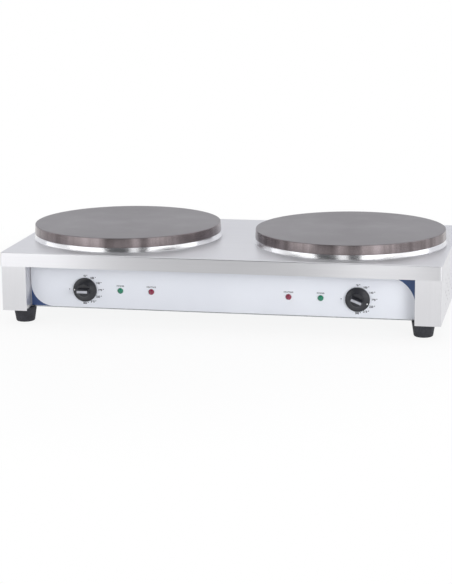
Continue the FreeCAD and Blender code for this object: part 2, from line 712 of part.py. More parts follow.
def heating_element():
    """A round sheathed element: an outer loop, a return bend, an inner loop and two legs."""
    end = math.radians(ELEMENT_END_ANGLE)
    turn = math.radians(ELEMENT_TURN_ANGLE) - 2 * math.pi
    middle = (end + turn) / 2
    turn_radius = (ELEMENT_OUTER_LOOP - ELEMENT_INNER_LOOP) / 2
    turn_place = (ELEMENT_OUTER_LOOP + ELEMENT_INNER_LOOP) / 2

    def on(radius, angle):
        return Vector(radius * math.cos(angle), radius * math.sin(angle), ELEMENT_Z)

    forward = Vector(math.sin(end), -math.cos(end), 0)
    turn_forward = Vector(math.sin(turn), -math.cos(turn), 0)
    bow = on(turn_place, turn) + turn_forward * turn_radius
    leg_bottom = PAN_BOTTOM - ELEMENT_LEG_BELOW_PAN
    down = Vector(0, 0, -1)

    def leg(radius):
        """From the bottom of a leg up and round onto the loop."""
        top = on(radius, end) - forward * ELEMENT_BEND + down * ELEMENT_BEND
        corner_middle = (
            on(radius, end)
            - forward * ELEMENT_BEND * math.sin(math.pi / 4)
            + down * ELEMENT_BEND * (1 - math.cos(math.pi / 4))
        )
        foot_point = Vector(top.x, top.y, leg_bottom)
        return foot_point, top, corner_middle

    foot_a, top_a, mid_a = leg(ELEMENT_OUTER_LOOP)
    foot_b, top_b, mid_b = leg(ELEMENT_INNER_LOOP)
    route = Part.Wire([
        Part.LineSegment(foot_a, top_a).toShape(),
        Part.Arc(top_a, mid_a, on(ELEMENT_OUTER_LOOP, end)).toShape(),
        Part.Arc(
            on(ELEMENT_OUTER_LOOP, end), on(ELEMENT_OUTER_LOOP, middle), on(ELEMENT_OUTER_LOOP, turn)
        ).toShape(),
        Part.Arc(on(ELEMENT_OUTER_LOOP, turn), bow, on(ELEMENT_INNER_LOOP, turn)).toShape(),
        Part.Arc(
            on(ELEMENT_INNER_LOOP, turn), on(ELEMENT_INNER_LOOP, middle), on(ELEMENT_INNER_LOOP, end)
        ).toShape(),
        Part.Arc(on(ELEMENT_INNER_LOOP, end), mid_b, top_b).toShape(),
        Part.LineSegment(top_b, foot_b).toShape(),
    ])
    element = tube(route, ELEMENT_RADIUS)
    pins = [rod(ELEMENT_PIN_RADIUS, ELEMENT_PIN_LENGTH, end_point, down) for end_point in (foot_a, foot_b)]
    return element.multiFuse(pins)


def plate_bridge():
    """The hat-shaped strap across the opening that the plate's stud pulls against."""
    top = UNDER_WORKTOP
    low = PAN_BOTTOM
    reach = BRIDGE_REACH
    points = [
        Vector(-reach - BRIDGE_TAB, 0, top),
        Vector(-reach, 0, top),
        Vector(-reach, 0, low),
        Vector(reach, 0, low),
        Vector(reach, 0, top),
        Vector(reach + BRIDGE_TAB, 0, top),
        Vector(reach + BRIDGE_TAB, 0, top - BRIDGE_SHEET),
        Vector(reach + BRIDGE_SHEET, 0, top - BRIDGE_SHEET),
        Vector(reach + BRIDGE_SHEET, 0, low - BRIDGE_SHEET),
        Vector(-reach - BRIDGE_SHEET, 0, low - BRIDGE_SHEET),
        Vector(-reach - BRIDGE_SHEET, 0, top - BRIDGE_SHEET),
        Vector(-reach - BRIDGE_TAB, 0, top - BRIDGE_SHEET),
    ]
    strap = Part.Face(outline(points)).extrude(Vector(0, BRIDGE_WIDTH, 0))
    strap.translate(Vector(0, -BRIDGE_WIDTH / 2, 0))
    return strap.cut(disc(STUD_RADIUS + STUD_CLEARANCE, 0, PLATE_TOP, 0, 0))


def plate_nut():
    """The nut that draws the stud down on the bridge."""
    top = PAN_BOTTOM - BRIDGE_SHEET
    nut = hexagon(PLATE_NUT_WIDTH, PLATE_NUT_HEIGHT, Vector(0, 0, top - PLATE_NUT_HEIGHT), Vector(0, 0, 1))
    return nut.cut(disc(STUD_RADIUS + SHAFT_CLEARANCE, 0, PLATE_TOP, 0, 0))


def overheat_limiter():
    """The resettable cut-out under the pan, with its two tabs."""
    body = disc(LIMITER_RADIUS, PAN_BOTTOM - LIMITER_HEIGHT, PAN_BOTTOM, 0, -LIMITER_PLACE)
    button_top = PAN_BOTTOM - LIMITER_HEIGHT
    button = disc(LIMITER_RADIUS / 3, button_top - LIMITER_BUTTON, button_top, 0, -LIMITER_PLACE)
    tabs = block(
        -LIMITER_RADIUS - TAB_LENGTH, LIMITER_RADIUS + TAB_LENGTH,
        -LIMITER_PLACE - TAB_WIDTH / 2, -LIMITER_PLACE + TAB_WIDTH / 2,
        PAN_BOTTOM - LIMITER_HEIGHT / 2, PAN_BOTTOM - LIMITER_HEIGHT / 2 + TAB_THICKNESS,
    )
    return body.multiFuse([button, tabs])


def capillary_rise():
    """Where the capillary comes up through the pan, on the plate's axis frame."""
    return -BULB_LENGTH / 2 - CAPILLARY_BEND, -BULB_PLACE


def capillary():
    """The fine tube from the thermostat's back up into the bulb under the plate."""
    rise_x, rise_y = capillary_rise()
    knob_x = KNOB_PLACE - PLATE_OFFSET
    start_y = PANEL_BACK + THERMOSTAT_PLATE + THERMOSTAT_DEPTH - PLATE_SETBACK
    bulb_z = WEB_BOTTOM - BULB_RADIUS
    points = [
        Vector(knob_x, start_y, CONTROL_HEIGHT),
        Vector(knob_x, start_y + 2 * CAPILLARY_BEND, CONTROL_HEIGHT),
        Vector(rise_x, rise_y, CONTROL_HEIGHT + CAPILLARY_BEND),
        Vector(rise_x, rise_y, bulb_z),
        Vector(rise_x + CAPILLARY_BEND + CAPILLARY_IN_BULB, rise_y, bulb_z),
    ]
    return tube(rounded_route(points, CAPILLARY_TURN_RADIUS), CAPILLARY_RADIUS)


def sensor_bulb():
    """The bulb that lies against the underside of the plate."""
    rise_x, rise_y = capillary_rise()
    start = Vector(rise_x + CAPILLARY_BEND + 1, rise_y, WEB_BOTTOM - BULB_RADIUS)
    return rod(BULB_RADIUS, BULB_LENGTH, start, Vector(1, 0, 0))


# Controls, built round the knob's axis with the panel face at y = 0

def at_knob(shape, side):
    moved = shape.copy()
    moved.translate(Vector(side * KNOB_PLACE, PANEL_FACE, CONTROL_HEIGHT))
    return moved


def thermostat():
    """The thermostat: fixing plate, moulded body, threaded bush and its tabs."""
    plate_back = SHEET + THERMOSTAT_PLATE
    plate = block(
        -THERMOSTAT_PLATE_WIDTH / 2, THERMOSTAT_PLATE_WIDTH / 2, SHEET, plate_back,
        -THERMOSTAT_PLATE_HEIGHT / 2, THERMOSTAT_PLATE_HEIGHT / 2,
    )
    body = block(
        -THERMOSTAT_WIDTH / 2, THERMOSTAT_WIDTH / 2, plate_back, plate_back + THERMOSTAT_DEPTH,
        -THERMOSTAT_HEIGHT / 2, THERMOSTAT_HEIGHT / 2,
    )
    body = body.makeFillet(THERMOSTAT_EDGE, [e for e in body.Edges if is_along(e, SPIN)])
    bush = rod(BUSH_RADIUS, BUSH_PROUD + SHEET + 1, Vector(0, -BUSH_PROUD, 0), SPIN)
    tabs = [
        block(
            x - TAB_THICKNESS / 2, x + TAB_THICKNESS / 2,
            plate_back + THERMOSTAT_DEPTH - 1, plate_back + THERMOSTAT_DEPTH + TAB_LENGTH,
            z - TAB_WIDTH / 2, z + TAB_WIDTH / 2,
        )
        for x in (-THERMOSTAT_WIDTH / 3, THERMOSTAT_WIDTH / 3)
        for z in (-THERMOSTAT_HEIGHT / 3, THERMOSTAT_HEIGHT / 3)
    ]
    whole = plate.multiFuse([body, bush] + tabs)
    bore_length = BUSH_PROUD + SHEET + SHAFT_IN_BODY + 1
    bore = rod(SHAFT_RADIUS + SHAFT_CLEARANCE, bore_length, Vector(0, -BUSH_PROUD - 1, 0), SPIN)
    whole = whole.cut(bore)
    for end in (-1, 1):
        start = Vector(end * THERMOSTAT_SCREW_SPACING / 2, SHEET - 1, 0)
        whole = whole.cut(rod(THERMOSTAT_SCREW_RADIUS + SHAFT_CLEARANCE, 2 * plate_back + 3, start, SPIN))
    return whole.removeSplitter()


def thermostat_screw(end):
    """One of the two screws under the knob that hold a thermostat."""
    x = end * THERMOSTAT_SCREW_SPACING / 2
    face = Vector(x, -THERMOSTAT_SCREW_HEAD, 0)
    head = rod(THERMOSTAT_SCREW_HEAD_RADIUS, THERMOSTAT_SCREW_HEAD, face, SPIN)
    shank = rod(THERMOSTAT_SCREW_RADIUS, SHEET + THERMOSTAT_PLATE + 2, Vector(x, -1, 0), SPIN)
    return head.fuse(shank).removeSplitter()


def d_shaft(radius, start_y, length):
    """A round shaft with the flat that drives the knob."""
    shaft = rod(radius, length, Vector(0, start_y, 0), SPIN)
    flat = block(
        -radius, radius, start_y - 1, -BUSH_PROUD - 1, radius - SHAFT_FLAT, radius + 1
    )
    return shaft.cut(flat)


def thermostat_shaft():
    knob_end = -KNOB_AIR - OVERLAY_SHEET - SHAFT_IN_KNOB
    return d_shaft(SHAFT_RADIUS, knob_end, SHEET + SHAFT_IN_BODY - knob_end)


def knob():
    """The moulded knob: flange, dished cone, crown and a tapered grip bar."""
    def at(radius, height):
        return Vector(radius, -OVERLAY_SHEET - KNOB_AIR - height, 0)

    profile = outline([
        at(KNOB_CAVITY_RADIUS - KNOB_CAVITY_SLOPE, KNOB_CAVITY),
        at(KNOB_CAVITY_RADIUS, 0),
        at(KNOB_RADIUS - KNOB_FLANGE_SLOPE, 0),
        at(KNOB_RADIUS, KNOB_FLANGE_SLOPE),
        at(KNOB_RADIUS, KNOB_FLANGE),
        at(KNOB_RADIUS - KNOB_FLANGE_SLOPE, KNOB_FLANGE + KNOB_FLANGE_SLOPE),
        (
            at((KNOB_RADIUS + KNOB_CONE_TOP_RADIUS) / 2, KNOB_CONE_TOP * KNOB_DISH),
            at(KNOB_CONE_TOP_RADIUS, KNOB_CONE_TOP),
        ),
        at(KNOB_CROWN_RADIUS, KNOB_CROWN),
        at(0, KNOB_CROWN),
        at(0, KNOB_CAVITY),
    ])
    body = turned(profile, Vector(0, 0, 0), SPIN)

    def grip_section(length, width, height):
        y = -OVERLAY_SHEET - KNOB_AIR - height
        half, low = length / 2, width / 2
        return Part.makePolygon([
            Vector(-half, y, -low), Vector(half, y, -low), Vector(half, y, low), Vector(-half, y, low),
            Vector(-half, y, -low),
        ])

    grip = Part.makeLoft([
        grip_section(GRIP_LENGTH, GRIP_BASE_WIDTH, KNOB_CAVITY),
        grip_section(GRIP_TOP_LENGTH, GRIP_TOP_WIDTH, KNOB_HEIGHT),
    ], True)
    slanting = [e for e in grip.Edges if e.BoundBox.YLength > GRIP_CORNER]
    grip = grip.makeFillet(GRIP_CORNER, slanting)
    front = -OVERLAY_SHEET - KNOB_AIR - KNOB_HEIGHT
    front_edges = [e for e in grip.Edges if e.BoundBox.YMax < front + GRIP_EDGE]
    grip = grip.makeFillet(GRIP_EDGE, front_edges)
    whole = body.fuse(grip).removeSplitter()
    bore_end = -OVERLAY_SHEET - KNOB_AIR - SHAFT_IN_KNOB - SHAFT_CLEARANCE
    bore = d_shaft(SHAFT_RADIUS + SHAFT_CLEARANCE, bore_end, SHAFT_IN_KNOB + 1)
    whole = whole.cut(bore)
    pocket = inlay_block(SHAFT_CLEARANCE)
    return whole.cut(pocket).cut(pointer_cylinder(SHAFT_CLEARANCE))


def inlay_block(play):
    """The metal strip in the end of the grip, or its pocket when play is added."""
    front = -OVERLAY_SHEET - KNOB_AIR - KNOB_HEIGHT
    back = front - INLAY_PROUD + INLAY_THICKNESS + play
    return block(
        -INLAY_LENGTH / 2 - play, INLAY_LENGTH / 2 + play, front - INLAY_PROUD, back,
        -INLAY_WIDTH / 2 - play, INLAY_WIDTH / 2 + play,
    )


def pointer_cylinder(play):
    """The white dot near the rim, at the off position, or its pocket when play is added."""
    front = -OVERLAY_SHEET - KNOB_AIR - POINTER_HEIGHT
    return rod(POINTER_RADIUS + play, POINTER_DEPTH, Vector(-POINTER_PLACE, front, 0), SPIN)


def turned_knob(shape, side):
    """Sets a knob piece on its axis: the left one stands at off, the right one part way round."""
    piece = shape.copy()
    if side > 0:
        piece.rotate(Vector(0, 0, 0), SPIN, KNOB_TURNED_RIGHT)
    return at_knob(piece, side)


def lens(side, place_x):
    """A domed lamp lens with its rim on the film."""
    centre = Vector(side * place_x, OVERLAY_FACE, CONTROL_HEIGHT)
    rim = rod(LENS_RADIUS, LENS_RIM, centre - SPIN * LENS_RIM, SPIN)
    sphere_radius = (LENS_RADIUS ** 2 + LENS_DOME ** 2) / (2 * LENS_DOME)
    middle = centre - SPIN * (LENS_RIM + LENS_DOME - sphere_radius)
    cap = Part.makeSphere(sphere_radius, middle)
    cap = cap.common(rod(LENS_RADIUS, LENS_DOME, centre - SPIN * (LENS_RIM + LENS_DOME), SPIN))
    return rim.fuse(cap).removeSplitter()


def lamp_housing(side, place_x):
    """The barrel behind a lens, with its nut and two tabs."""
    start = Vector(side * place_x, OVERLAY_FACE, CONTROL_HEIGHT)
    barrel = rod(LAMP_BODY_RADIUS, LAMP_BODY_LENGTH, start, SPIN)
    nut = hexagon(LAMP_NUT_WIDTH, LAMP_NUT_HEIGHT, Vector(start.x, PANEL_BACK, start.z), SPIN)
    tail = start + SPIN * (LAMP_BODY_LENGTH - 1)
    tabs = [
        block(
            tail.x + x - TAB_THICKNESS / 2, tail.x + x + TAB_THICKNESS / 2, tail.y, tail.y + TAB_LENGTH,
            tail.z - TAB_WIDTH / 2, tail.z + TAB_WIDTH / 2,
        )
        for x in (-LAMP_BODY_RADIUS / 2, LAMP_BODY_RADIUS / 2)
    ]
    return barrel.multiFuse([nut] + tabs).removeSplitter()


# Electrical entry and the rear fasteners

def cable_gland():
    """The cable inlet: hexagon body, clamping cap and the lock nut inside, with a clear bore."""
    centre = Vector(GLAND_PLACE, REAR_FACE, GLAND_HEIGHT)
    flange = hexagon(GLAND_HEX, GLAND_HEX_THICKNESS, centre, SPIN)
    cap = rod(GLAND_CAP_RADIUS, GLAND_CAP_LENGTH, centre + SPIN * GLAND_HEX_THICKNESS, SPIN)
    cap_rim = [e for e in cap.Edges if e.BoundBox.YMin > REAR_FACE + GLAND_CAP_LENGTH]
    cap = cap.makeFillet(3.0, cap_rim)
    inside = GLAND_INSIDE_LENGTH + SHEET
    barrel = rod(GLAND_BARREL_RADIUS, inside, centre - SPIN * inside, SPIN)
    nut_place = centre - SPIN * (SHEET + GLAND_NUT_THICKNESS)
    lock_nut = hexagon(GLAND_HEX, GLAND_NUT_THICKNESS, nut_place, SPIN)
    whole = flange.multiFuse([cap, barrel, lock_nut])
    length = inside + GLAND_HEX_THICKNESS + GLAND_CAP_LENGTH
    bore = rod(GLAND_BORE_RADIUS, length + 2, centre - SPIN * (inside + 1), SPIN)
    return whole.cut(bore).removeSplitter()


def terminal_block():
    """The five-pole block on the base plate where the supply leads end."""
    y1 = REAR_IN - BLOCK_BEFORE_REAR
    body = block(
        GLAND_PLACE - BLOCK_LENGTH / 2, GLAND_PLACE + BLOCK_LENGTH / 2, y1 - BLOCK_WIDTH, y1,
        BASE_TOP, BASE_TOP + BLOCK_HEIGHT,
    )
    body = body.makeFillet(1.5, edges_at_top(body))
    pitch = BLOCK_LENGTH / BLOCK_POLES
    for pole in range(BLOCK_POLES):
        x = GLAND_PLACE + (pole - (BLOCK_POLES - 1) / 2) * pitch
        top = BASE_TOP + BLOCK_HEIGHT
        body = body.cut(disc(BLOCK_SCREW_RADIUS, top - BLOCK_SCREW_DEPTH, top + 1, x, y1 - BLOCK_WIDTH / 2))
        wire_way = Vector(x, y1 - BLOCK_WIDTH - 1, BASE_TOP + BLOCK_HEIGHT * 0.4)
        body = body.cut(rod(BLOCK_WIRE_RADIUS, BLOCK_WIDTH + 2, wire_way, SPIN))
    return body


def earth_terminal():
    """The bonding stud on the back, with its two nuts."""
    centre = Vector(EARTH_PLACE, REAR_FACE, GLAND_HEIGHT)
    stud = rod(EARTH_STUD_RADIUS, EARTH_STUD_LENGTH + SHEET + NUT_HEIGHT + 2,
               centre - SPIN * (SHEET + NUT_HEIGHT + 2), SPIN)
    inside = hexagon(NUT_WIDTH, NUT_HEIGHT, centre - SPIN * (SHEET + NUT_HEIGHT), SPIN)
    outside = hexagon(NUT_WIDTH, NUT_HEIGHT, centre, SPIN)
    return stud.multiFuse([inside, outside]).removeSplitter()


def panel_screw_starts():
    """Points on the back sheet's outer face where it is screwed to the side panels."""
    x = REAR_POST_INNER - REAR_TAB / 2
    for side in (-1, 1):
        for z in (FOOT_HEIGHT + 3 * NUT_WIDTH / 2, WORKTOP_TOP - LIP_DROP - NUT_WIDTH):
            yield Vector(side * x, REAR_FACE, z)


def panel_screw(start):
    """A low round-headed screw through the back sheet."""
    head = rod(PANEL_SCREW_HEAD_RADIUS, PANEL_SCREW_HEAD, start, SPIN)
    head = head.makeFillet(1.2, [e for e in head.Edges if e.BoundBox.YMin > start.y + 1])
    shank = rod(PANEL_SCREW_RADIUS, PANEL_SCREW_LENGTH, start - SPIN * PANEL_SCREW_LENGTH, SPIN)
    return head.fuse(shank).removeSplitter()


def save_cabinet():
    save("worktop", worktop())
    right = right_side_panel()
    for start in panel_screw_starts():
        hole = rod(PANEL_SCREW_RADIUS + SHAFT_CLEARANCE, 4 * SHEET, start - SPIN * 4 * SHEET, SPIN)
        right = right.cut(hole)
    save("right_side_panel", right)
    save("left_side_panel", mirrored(right))
    save("front_panel", front_panel())
    save("fascia_overlay", fascia_overlay())
    save("rear_panel", rear_panel())
    save("base_plate", base_plate())
    save("rear_panel_screws", *[panel_screw(start) for start in panel_screw_starts()])


def save_feet():
    front, rear = foot_rows()
    x = foot_x()
    for name, side, y in (
        ("front_left_foot", -1, front),
        ("front_right_foot", 1, front),
        ("rear_left_foot", -1, rear),
        ("rear_right_foot", 1, rear),
    ):
        save(name, foot(side * x, y))
    save("foot_screws", *[foot_screw(side * x, y) for side in (-1, 1) for y in (front, rear)])


def save_heaters():
    for name, make in (
        ("cooking_plate", cooking_plate),
        ("plate_ring", plate_ring),
        ("heater_pan", heater_pan),
        ("insulation_pad", insulation),
        ("element_clamp", element_clamp),
        ("heating_element", heating_element),
        ("plate_bridge", plate_bridge),
        ("plate_nut", plate_nut),
        ("overheat_limiter", overheat_limiter),
        ("capillary_tube", capillary),
        ("sensor_bulb", sensor_bulb),
    ):
        shape = make()
        save("left_" + name, place(shape, -1))
        save("right_" + name, place(shape, 1))


def save_controls():
    for prefix, side in (("left_", -1), ("right_", 1)):
        save(prefix + "thermostat", at_knob(thermostat(), side))
        save(prefix + "thermostat_shaft", turned_knob(thermostat_shaft(), side))
        save(prefix + "knob", turned_knob(knob(), side))
        save(prefix + "knob_inlay", turned_knob(inlay_block(0), side))
        save(prefix + "knob_pointer", turned_knob(pointer_cylinder(0), side))
        save(prefix + "green_lens", lens(side, GREEN_LAMP_PLACE))
        save(prefix + "red_lens", lens(side, RED_LAMP_PLACE))
    save("thermostat_screws", *[at_knob(thermostat_screw(end), side) for side in (-1, 1) for end in (-1, 1)])
    save("lamp_housings", *[
        lamp_housing(side, x) for side in (-1, 1) for x in (GREEN_LAMP_PLACE, RED_LAMP_PLACE)
    ])


def save_electrics():
    save("cable_gland", cable_gland())
    save("terminal_block", terminal_block())
    save("earth_terminal", earth_terminal())


def main():
    os.makedirs("parts", exist_ok=True)
    save_cabinet()
    save_feet()
    save_heaters()
    save_controls()
    save_electrics()


main()
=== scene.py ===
# %% [markdown]
# # A twin crepe maker, dressed in Blender
#
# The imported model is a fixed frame: it says where every piece is and which body it rides on.
# This lesson gives each piece its finish, and models again, finer, what the eye lands on.
# Round pieces are turned as smooth lathe meshes, because the frame's facets would show in a gloss.

# %% Load the frame
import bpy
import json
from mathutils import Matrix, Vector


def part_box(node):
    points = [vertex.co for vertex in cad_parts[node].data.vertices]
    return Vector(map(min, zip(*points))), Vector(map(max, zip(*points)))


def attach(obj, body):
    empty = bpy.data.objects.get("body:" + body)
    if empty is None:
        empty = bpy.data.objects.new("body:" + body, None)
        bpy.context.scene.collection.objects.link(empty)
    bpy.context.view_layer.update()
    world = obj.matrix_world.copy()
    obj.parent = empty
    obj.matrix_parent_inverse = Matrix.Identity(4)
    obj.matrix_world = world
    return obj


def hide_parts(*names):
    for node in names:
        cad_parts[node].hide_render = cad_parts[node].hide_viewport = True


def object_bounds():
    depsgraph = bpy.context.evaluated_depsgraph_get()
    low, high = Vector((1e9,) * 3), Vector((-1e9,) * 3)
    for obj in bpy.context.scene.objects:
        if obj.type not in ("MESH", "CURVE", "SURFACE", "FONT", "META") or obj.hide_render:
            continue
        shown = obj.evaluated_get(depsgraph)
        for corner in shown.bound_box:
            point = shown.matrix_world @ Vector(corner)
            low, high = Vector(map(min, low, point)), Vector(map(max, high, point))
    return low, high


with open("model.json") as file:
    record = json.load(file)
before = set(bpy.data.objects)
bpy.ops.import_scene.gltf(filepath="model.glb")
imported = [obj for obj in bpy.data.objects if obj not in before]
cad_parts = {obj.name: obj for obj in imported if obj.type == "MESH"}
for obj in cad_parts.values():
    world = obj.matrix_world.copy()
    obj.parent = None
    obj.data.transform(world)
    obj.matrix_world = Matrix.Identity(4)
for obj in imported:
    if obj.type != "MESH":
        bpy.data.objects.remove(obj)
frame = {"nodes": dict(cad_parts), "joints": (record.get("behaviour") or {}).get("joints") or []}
nodes = frame["nodes"]
cad_low, cad_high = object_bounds()

# %% Modules and units
import json
import math

import bmesh
import bpy
from mathutils import Matrix, Vector

MM = 0.001

# %% [markdown]
# ## Colour and nodes
#
# Colours are written as sRGB hex, as they are read from a swatch, and Cycles wants linear light,
# so one function turns one into the other. Another small function adds a shader node with its
# settings and links. Each material below then reads as a list of what it is made of.


# %% Colour and node helpers
def linear(hex_colour, shade=1.0):
    """An sRGB hex colour as linear RGBA, made lighter or darker by a factor."""
    parts = [int(hex_colour[i:i + 2], 16) / 255 for i in (1, 3, 5)]
    return [shade * (c / 12.92 if c <= 0.04045 else ((c + 0.055) / 1.055) ** 2.4) for c in parts] + [1.0]


def add(tree, kind, inputs=None, stops=None, **settings):
    """Adds a shader node: its settings, a value or a socket for each input, and a ramp's stops."""
    node = tree.nodes.new("ShaderNode" + kind)
    for name, value in settings.items():
        setattr(node, name, value)
    for name, value in (inputs or {}).items():
        if isinstance(value, bpy.types.NodeSocket):
            tree.links.new(value, node.inputs[name])
        else:
            node.inputs[name].default_value = value
    for index, (place, colour) in enumerate(stops or []):
        elements = node.color_ramp.elements
        element = elements[index] if index < len(elements) else elements.new(place)
        element.position = place
        element.color = colour
    return node


def start_material(name):
    """An empty material, its tree, and the object's own coordinates, which are the frame's."""
    material = bpy.data.materials.new(name)
    material.use_nodes = True
    tree = material.node_tree
    tree.nodes.clear()
    return material, tree, add(tree, "TexCoord").outputs["Object"]


def finish_material(material, shader):
    add(material.node_tree, "OutputMaterial", {"Surface": shader.outputs[0]})
    print("material:", material.name)
    return material


def per_mm(*sizes):
    """The texture scale whose features are so many mm wide along X, Y and Z."""
    return [1 / (size * MM) for size in sizes]


# %% [markdown]
# ## Brushed stainless steel
#
# The cabinet is folded from 1.2 mm austenitic stainless sheet, belt-brushed before bending.
# Brushing leaves parallel scratches: along them the metal is nearly a mirror, and across them
# the reflection smears, so a plate standing on the sheet shows as a long soft shadow towards the
# viewer. Anisotropy does that. A highlight stretches along the tangent, and a tangent that
# circles the brushing direction lies across the scratches on every fold. Real scratches are some
# 0.05 mm wide; they are drawn 1.1 mm wide, because finer ones would vanish between pixels.

# %% Brushed sheet
STEEL_TINT = "#dedee1"
STEEL_ROUGHNESS = 0.33
STEEL_ANISOTROPY = 0.85
SCRATCH_WIDTH, SCRATCH_LENGTH = 1.1, 90.0
CLOUD_WIDTH, CLOUD_LENGTH = 7.0, 320.0


def brushed_steel(name, along):
    """Sheet brushed along an axis."""
    material, tree, place = start_material(name)
    fine = per_mm(*[SCRATCH_LENGTH if axis == along else SCRATCH_WIDTH for axis in "XYZ"])
    broad = per_mm(*[CLOUD_LENGTH if axis == along else CLOUD_WIDTH for axis in "XYZ"])
    fine_place = add(tree, "Mapping", {"Vector": place, "Scale": fine}).outputs["Vector"]
    broad_place = add(tree, "Mapping", {"Vector": place, "Scale": broad}).outputs["Vector"]
    scratch = add(tree, "TexNoise", {"Vector": fine_place, "Scale": 1.0, "Detail": 3.0}).outputs["Fac"]
    cloud = add(tree, "TexNoise", {"Vector": broad_place, "Scale": 1.0, "Detail": 2.0}).outputs["Fac"]
    touch = add(tree, "TexNoise", {"Vector": place, "Scale": 11.0, "Detail": 3.0}).outputs["Fac"]
    tone = add(tree, "Mix", {"Factor": 0.5, "A": scratch, "B": cloud}, data_type="FLOAT").outputs["Result"]
    colour = add(tree, "ValToRGB", {"Fac": tone},
                 [(0.32, linear(STEEL_TINT, 0.955)), (0.68, linear(STEEL_TINT))])
    grain = add(tree, "MapRange", {"Value": scratch, "From Min": 0.25, "From Max": 0.75,
                                   "To Min": STEEL_ROUGHNESS - 0.03, "To Max": STEEL_ROUGHNESS + 0.03})
    worn = add(tree, "MapRange", {"Value": touch, "From Min": 0.4, "From Max": 0.7,
                                  "To Min": 0.0, "To Max": 0.025})
    rough = add(tree, "Math", {0: grain.outputs["Result"], 1: worn.outputs["Result"]}, operation="ADD")
    relief = add(tree, "Bump", {"Height": scratch, "Distance": 0.0012 * MM})
    across = add(tree, "Tangent", direction_type="RADIAL", axis=along)
    shader = add(tree, "BsdfPrincipled", {
        "Base Color": colour.outputs["Color"], "Metallic": 1.0, "Roughness": rough.outputs[0],
        "Anisotropic": STEEL_ANISOTROPY, "Tangent": across.outputs["Tangent"],
        "Normal": relief.outputs["Normal"],
    })
    return finish_material(material, shader)


steel_lengthwise = brushed_steel("stainless_brushed_lengthwise", "X")
steel_upright = brushed_steel("stainless_brushed_upright", "Z")

# %% [markdown]
# ## Galvanised steel
#
# What is out of sight is cheaper zinc-coated steel. Hot-dip zinc freezes into flat crystals, the
# spangle, about 7 mm across, each a slightly different grey. A Voronoi cell is just that shape.

# %% Galvanised sheet
SPANGLE = 7.0


def galvanised_sheet():
    material, tree, place = start_material("galvanised_spangle")
    crystal_place = add(tree, "Mapping", {"Vector": place, "Scale": per_mm(SPANGLE, SPANGLE, SPANGLE)})
    crystal = add(tree, "TexVoronoi", {"Vector": crystal_place.outputs["Vector"], "Scale": 1.0})
    level = add(tree, "SeparateColor", {"Color": crystal.outputs["Color"]}).outputs["Red"]
    colour = add(tree, "ValToRGB", {"Fac": level}, [(0.0, linear("#9a9fa3")), (1.0, linear("#b9bec1"))])
    rough = add(tree, "MapRange", {"Value": level, "To Min": 0.36, "To Max": 0.50})
    pitting = add(tree, "TexNoise", {"Vector": place, "Scale": 500.0, "Detail": 4.0})
    relief = add(tree, "Bump", {"Height": pitting.outputs["Fac"], "Distance": 0.01 * MM})
    shader = add(tree, "BsdfPrincipled", {
        "Base Color": colour.outputs["Color"], "Metallic": 1.0, "Roughness": rough.outputs["Result"],
        "Normal": relief.outputs["Normal"],
    })
    return finish_material(material, shader)


zinc_sheet = galvanised_sheet()

# %% [markdown]
# ## Buffed stainless steel
#
# The skirt under each plate is spun and then buffed, so it mirrors the room. The spinning tool
# leaves faint rings round it, which pull a highlight upright, and wiping marks dull it in places.


# %% Buffed skirt
def buffed_skirt():
    material, tree, place = start_material("stainless_buffed")
    wiped = add(tree, "Mapping", {"Vector": place, "Scale": per_mm(30.0, 30.0, 1.5)}).outputs["Vector"]
    wipe = add(tree, "TexNoise", {"Vector": wiped, "Scale": 1.0, "Detail": 4.0}).outputs["Fac"]
    colour = add(tree, "ValToRGB", {"Fac": wipe}, [(0.3, linear("#dfdfe2")), (0.7, linear("#ececee"))])
    rough = add(tree, "MapRange", {"Value": wipe, "From Min": 0.3, "From Max": 0.7,
                                   "To Min": 0.19, "To Max": 0.26})
    relief = add(tree, "Bump", {"Height": wipe, "Distance": 0.004 * MM})
    turned = add(tree, "Tangent", direction_type="RADIAL", axis="Z")
    shader = add(tree, "BsdfPrincipled", {
        "Base Color": colour.outputs["Color"], "Metallic": 1.0, "Roughness": rough.outputs["Result"],
        "Anisotropic": 0.6, "Anisotropic Rotation": 0.25, "Tangent": turned.outputs["Tangent"],
        "Normal": relief.outputs["Normal"],
    })
    return finish_material(material, shader)


buffed_steel = buffed_skirt()

# %% [markdown]
# ## Seasoned cast iron
#
# The plate is grey cast iron, faced on a lathe and then seasoned: a baked oil film, brown-black
# and satin, that mirrors the bright room at a low angle. The tool leaves rings some 0.4 mm apart,
# drawn here 2.5 mm apart so that they show at all, and the film lies thicker in soft clouds. The
# edge is wiped clean more often: it is barer, greyer metal, and its colour carries lighter upright
# bands, which are painted highlight streaks. It also mirrors the lamps as upright streaks of light;
# how far a streak is pulled out is its anisotropy. Distance from the plate's own axis drives the
# rings, so both plates share one function.

# %% Plate sizes from the frame
plate_axes = {}
for side in ("left", "right"):
    low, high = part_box(side + "_cooking_plate")
    plate_axes[side] = ((low + high) / 2, (high.x - low.x) / 2, high.z)
    print(side, "plate radius", round(plate_axes[side][1] / MM, 1), "mm, top", round(high.z / MM, 1), "mm")

# %% Seasoned plate
TOOL_RINGS = 2.5
FACE_METAL, RIM_METAL = 0.65, 0.95
FACE_PULL, RIM_PULL = 0.2, 0.75
RIM_ROUGHNESS = 0.27


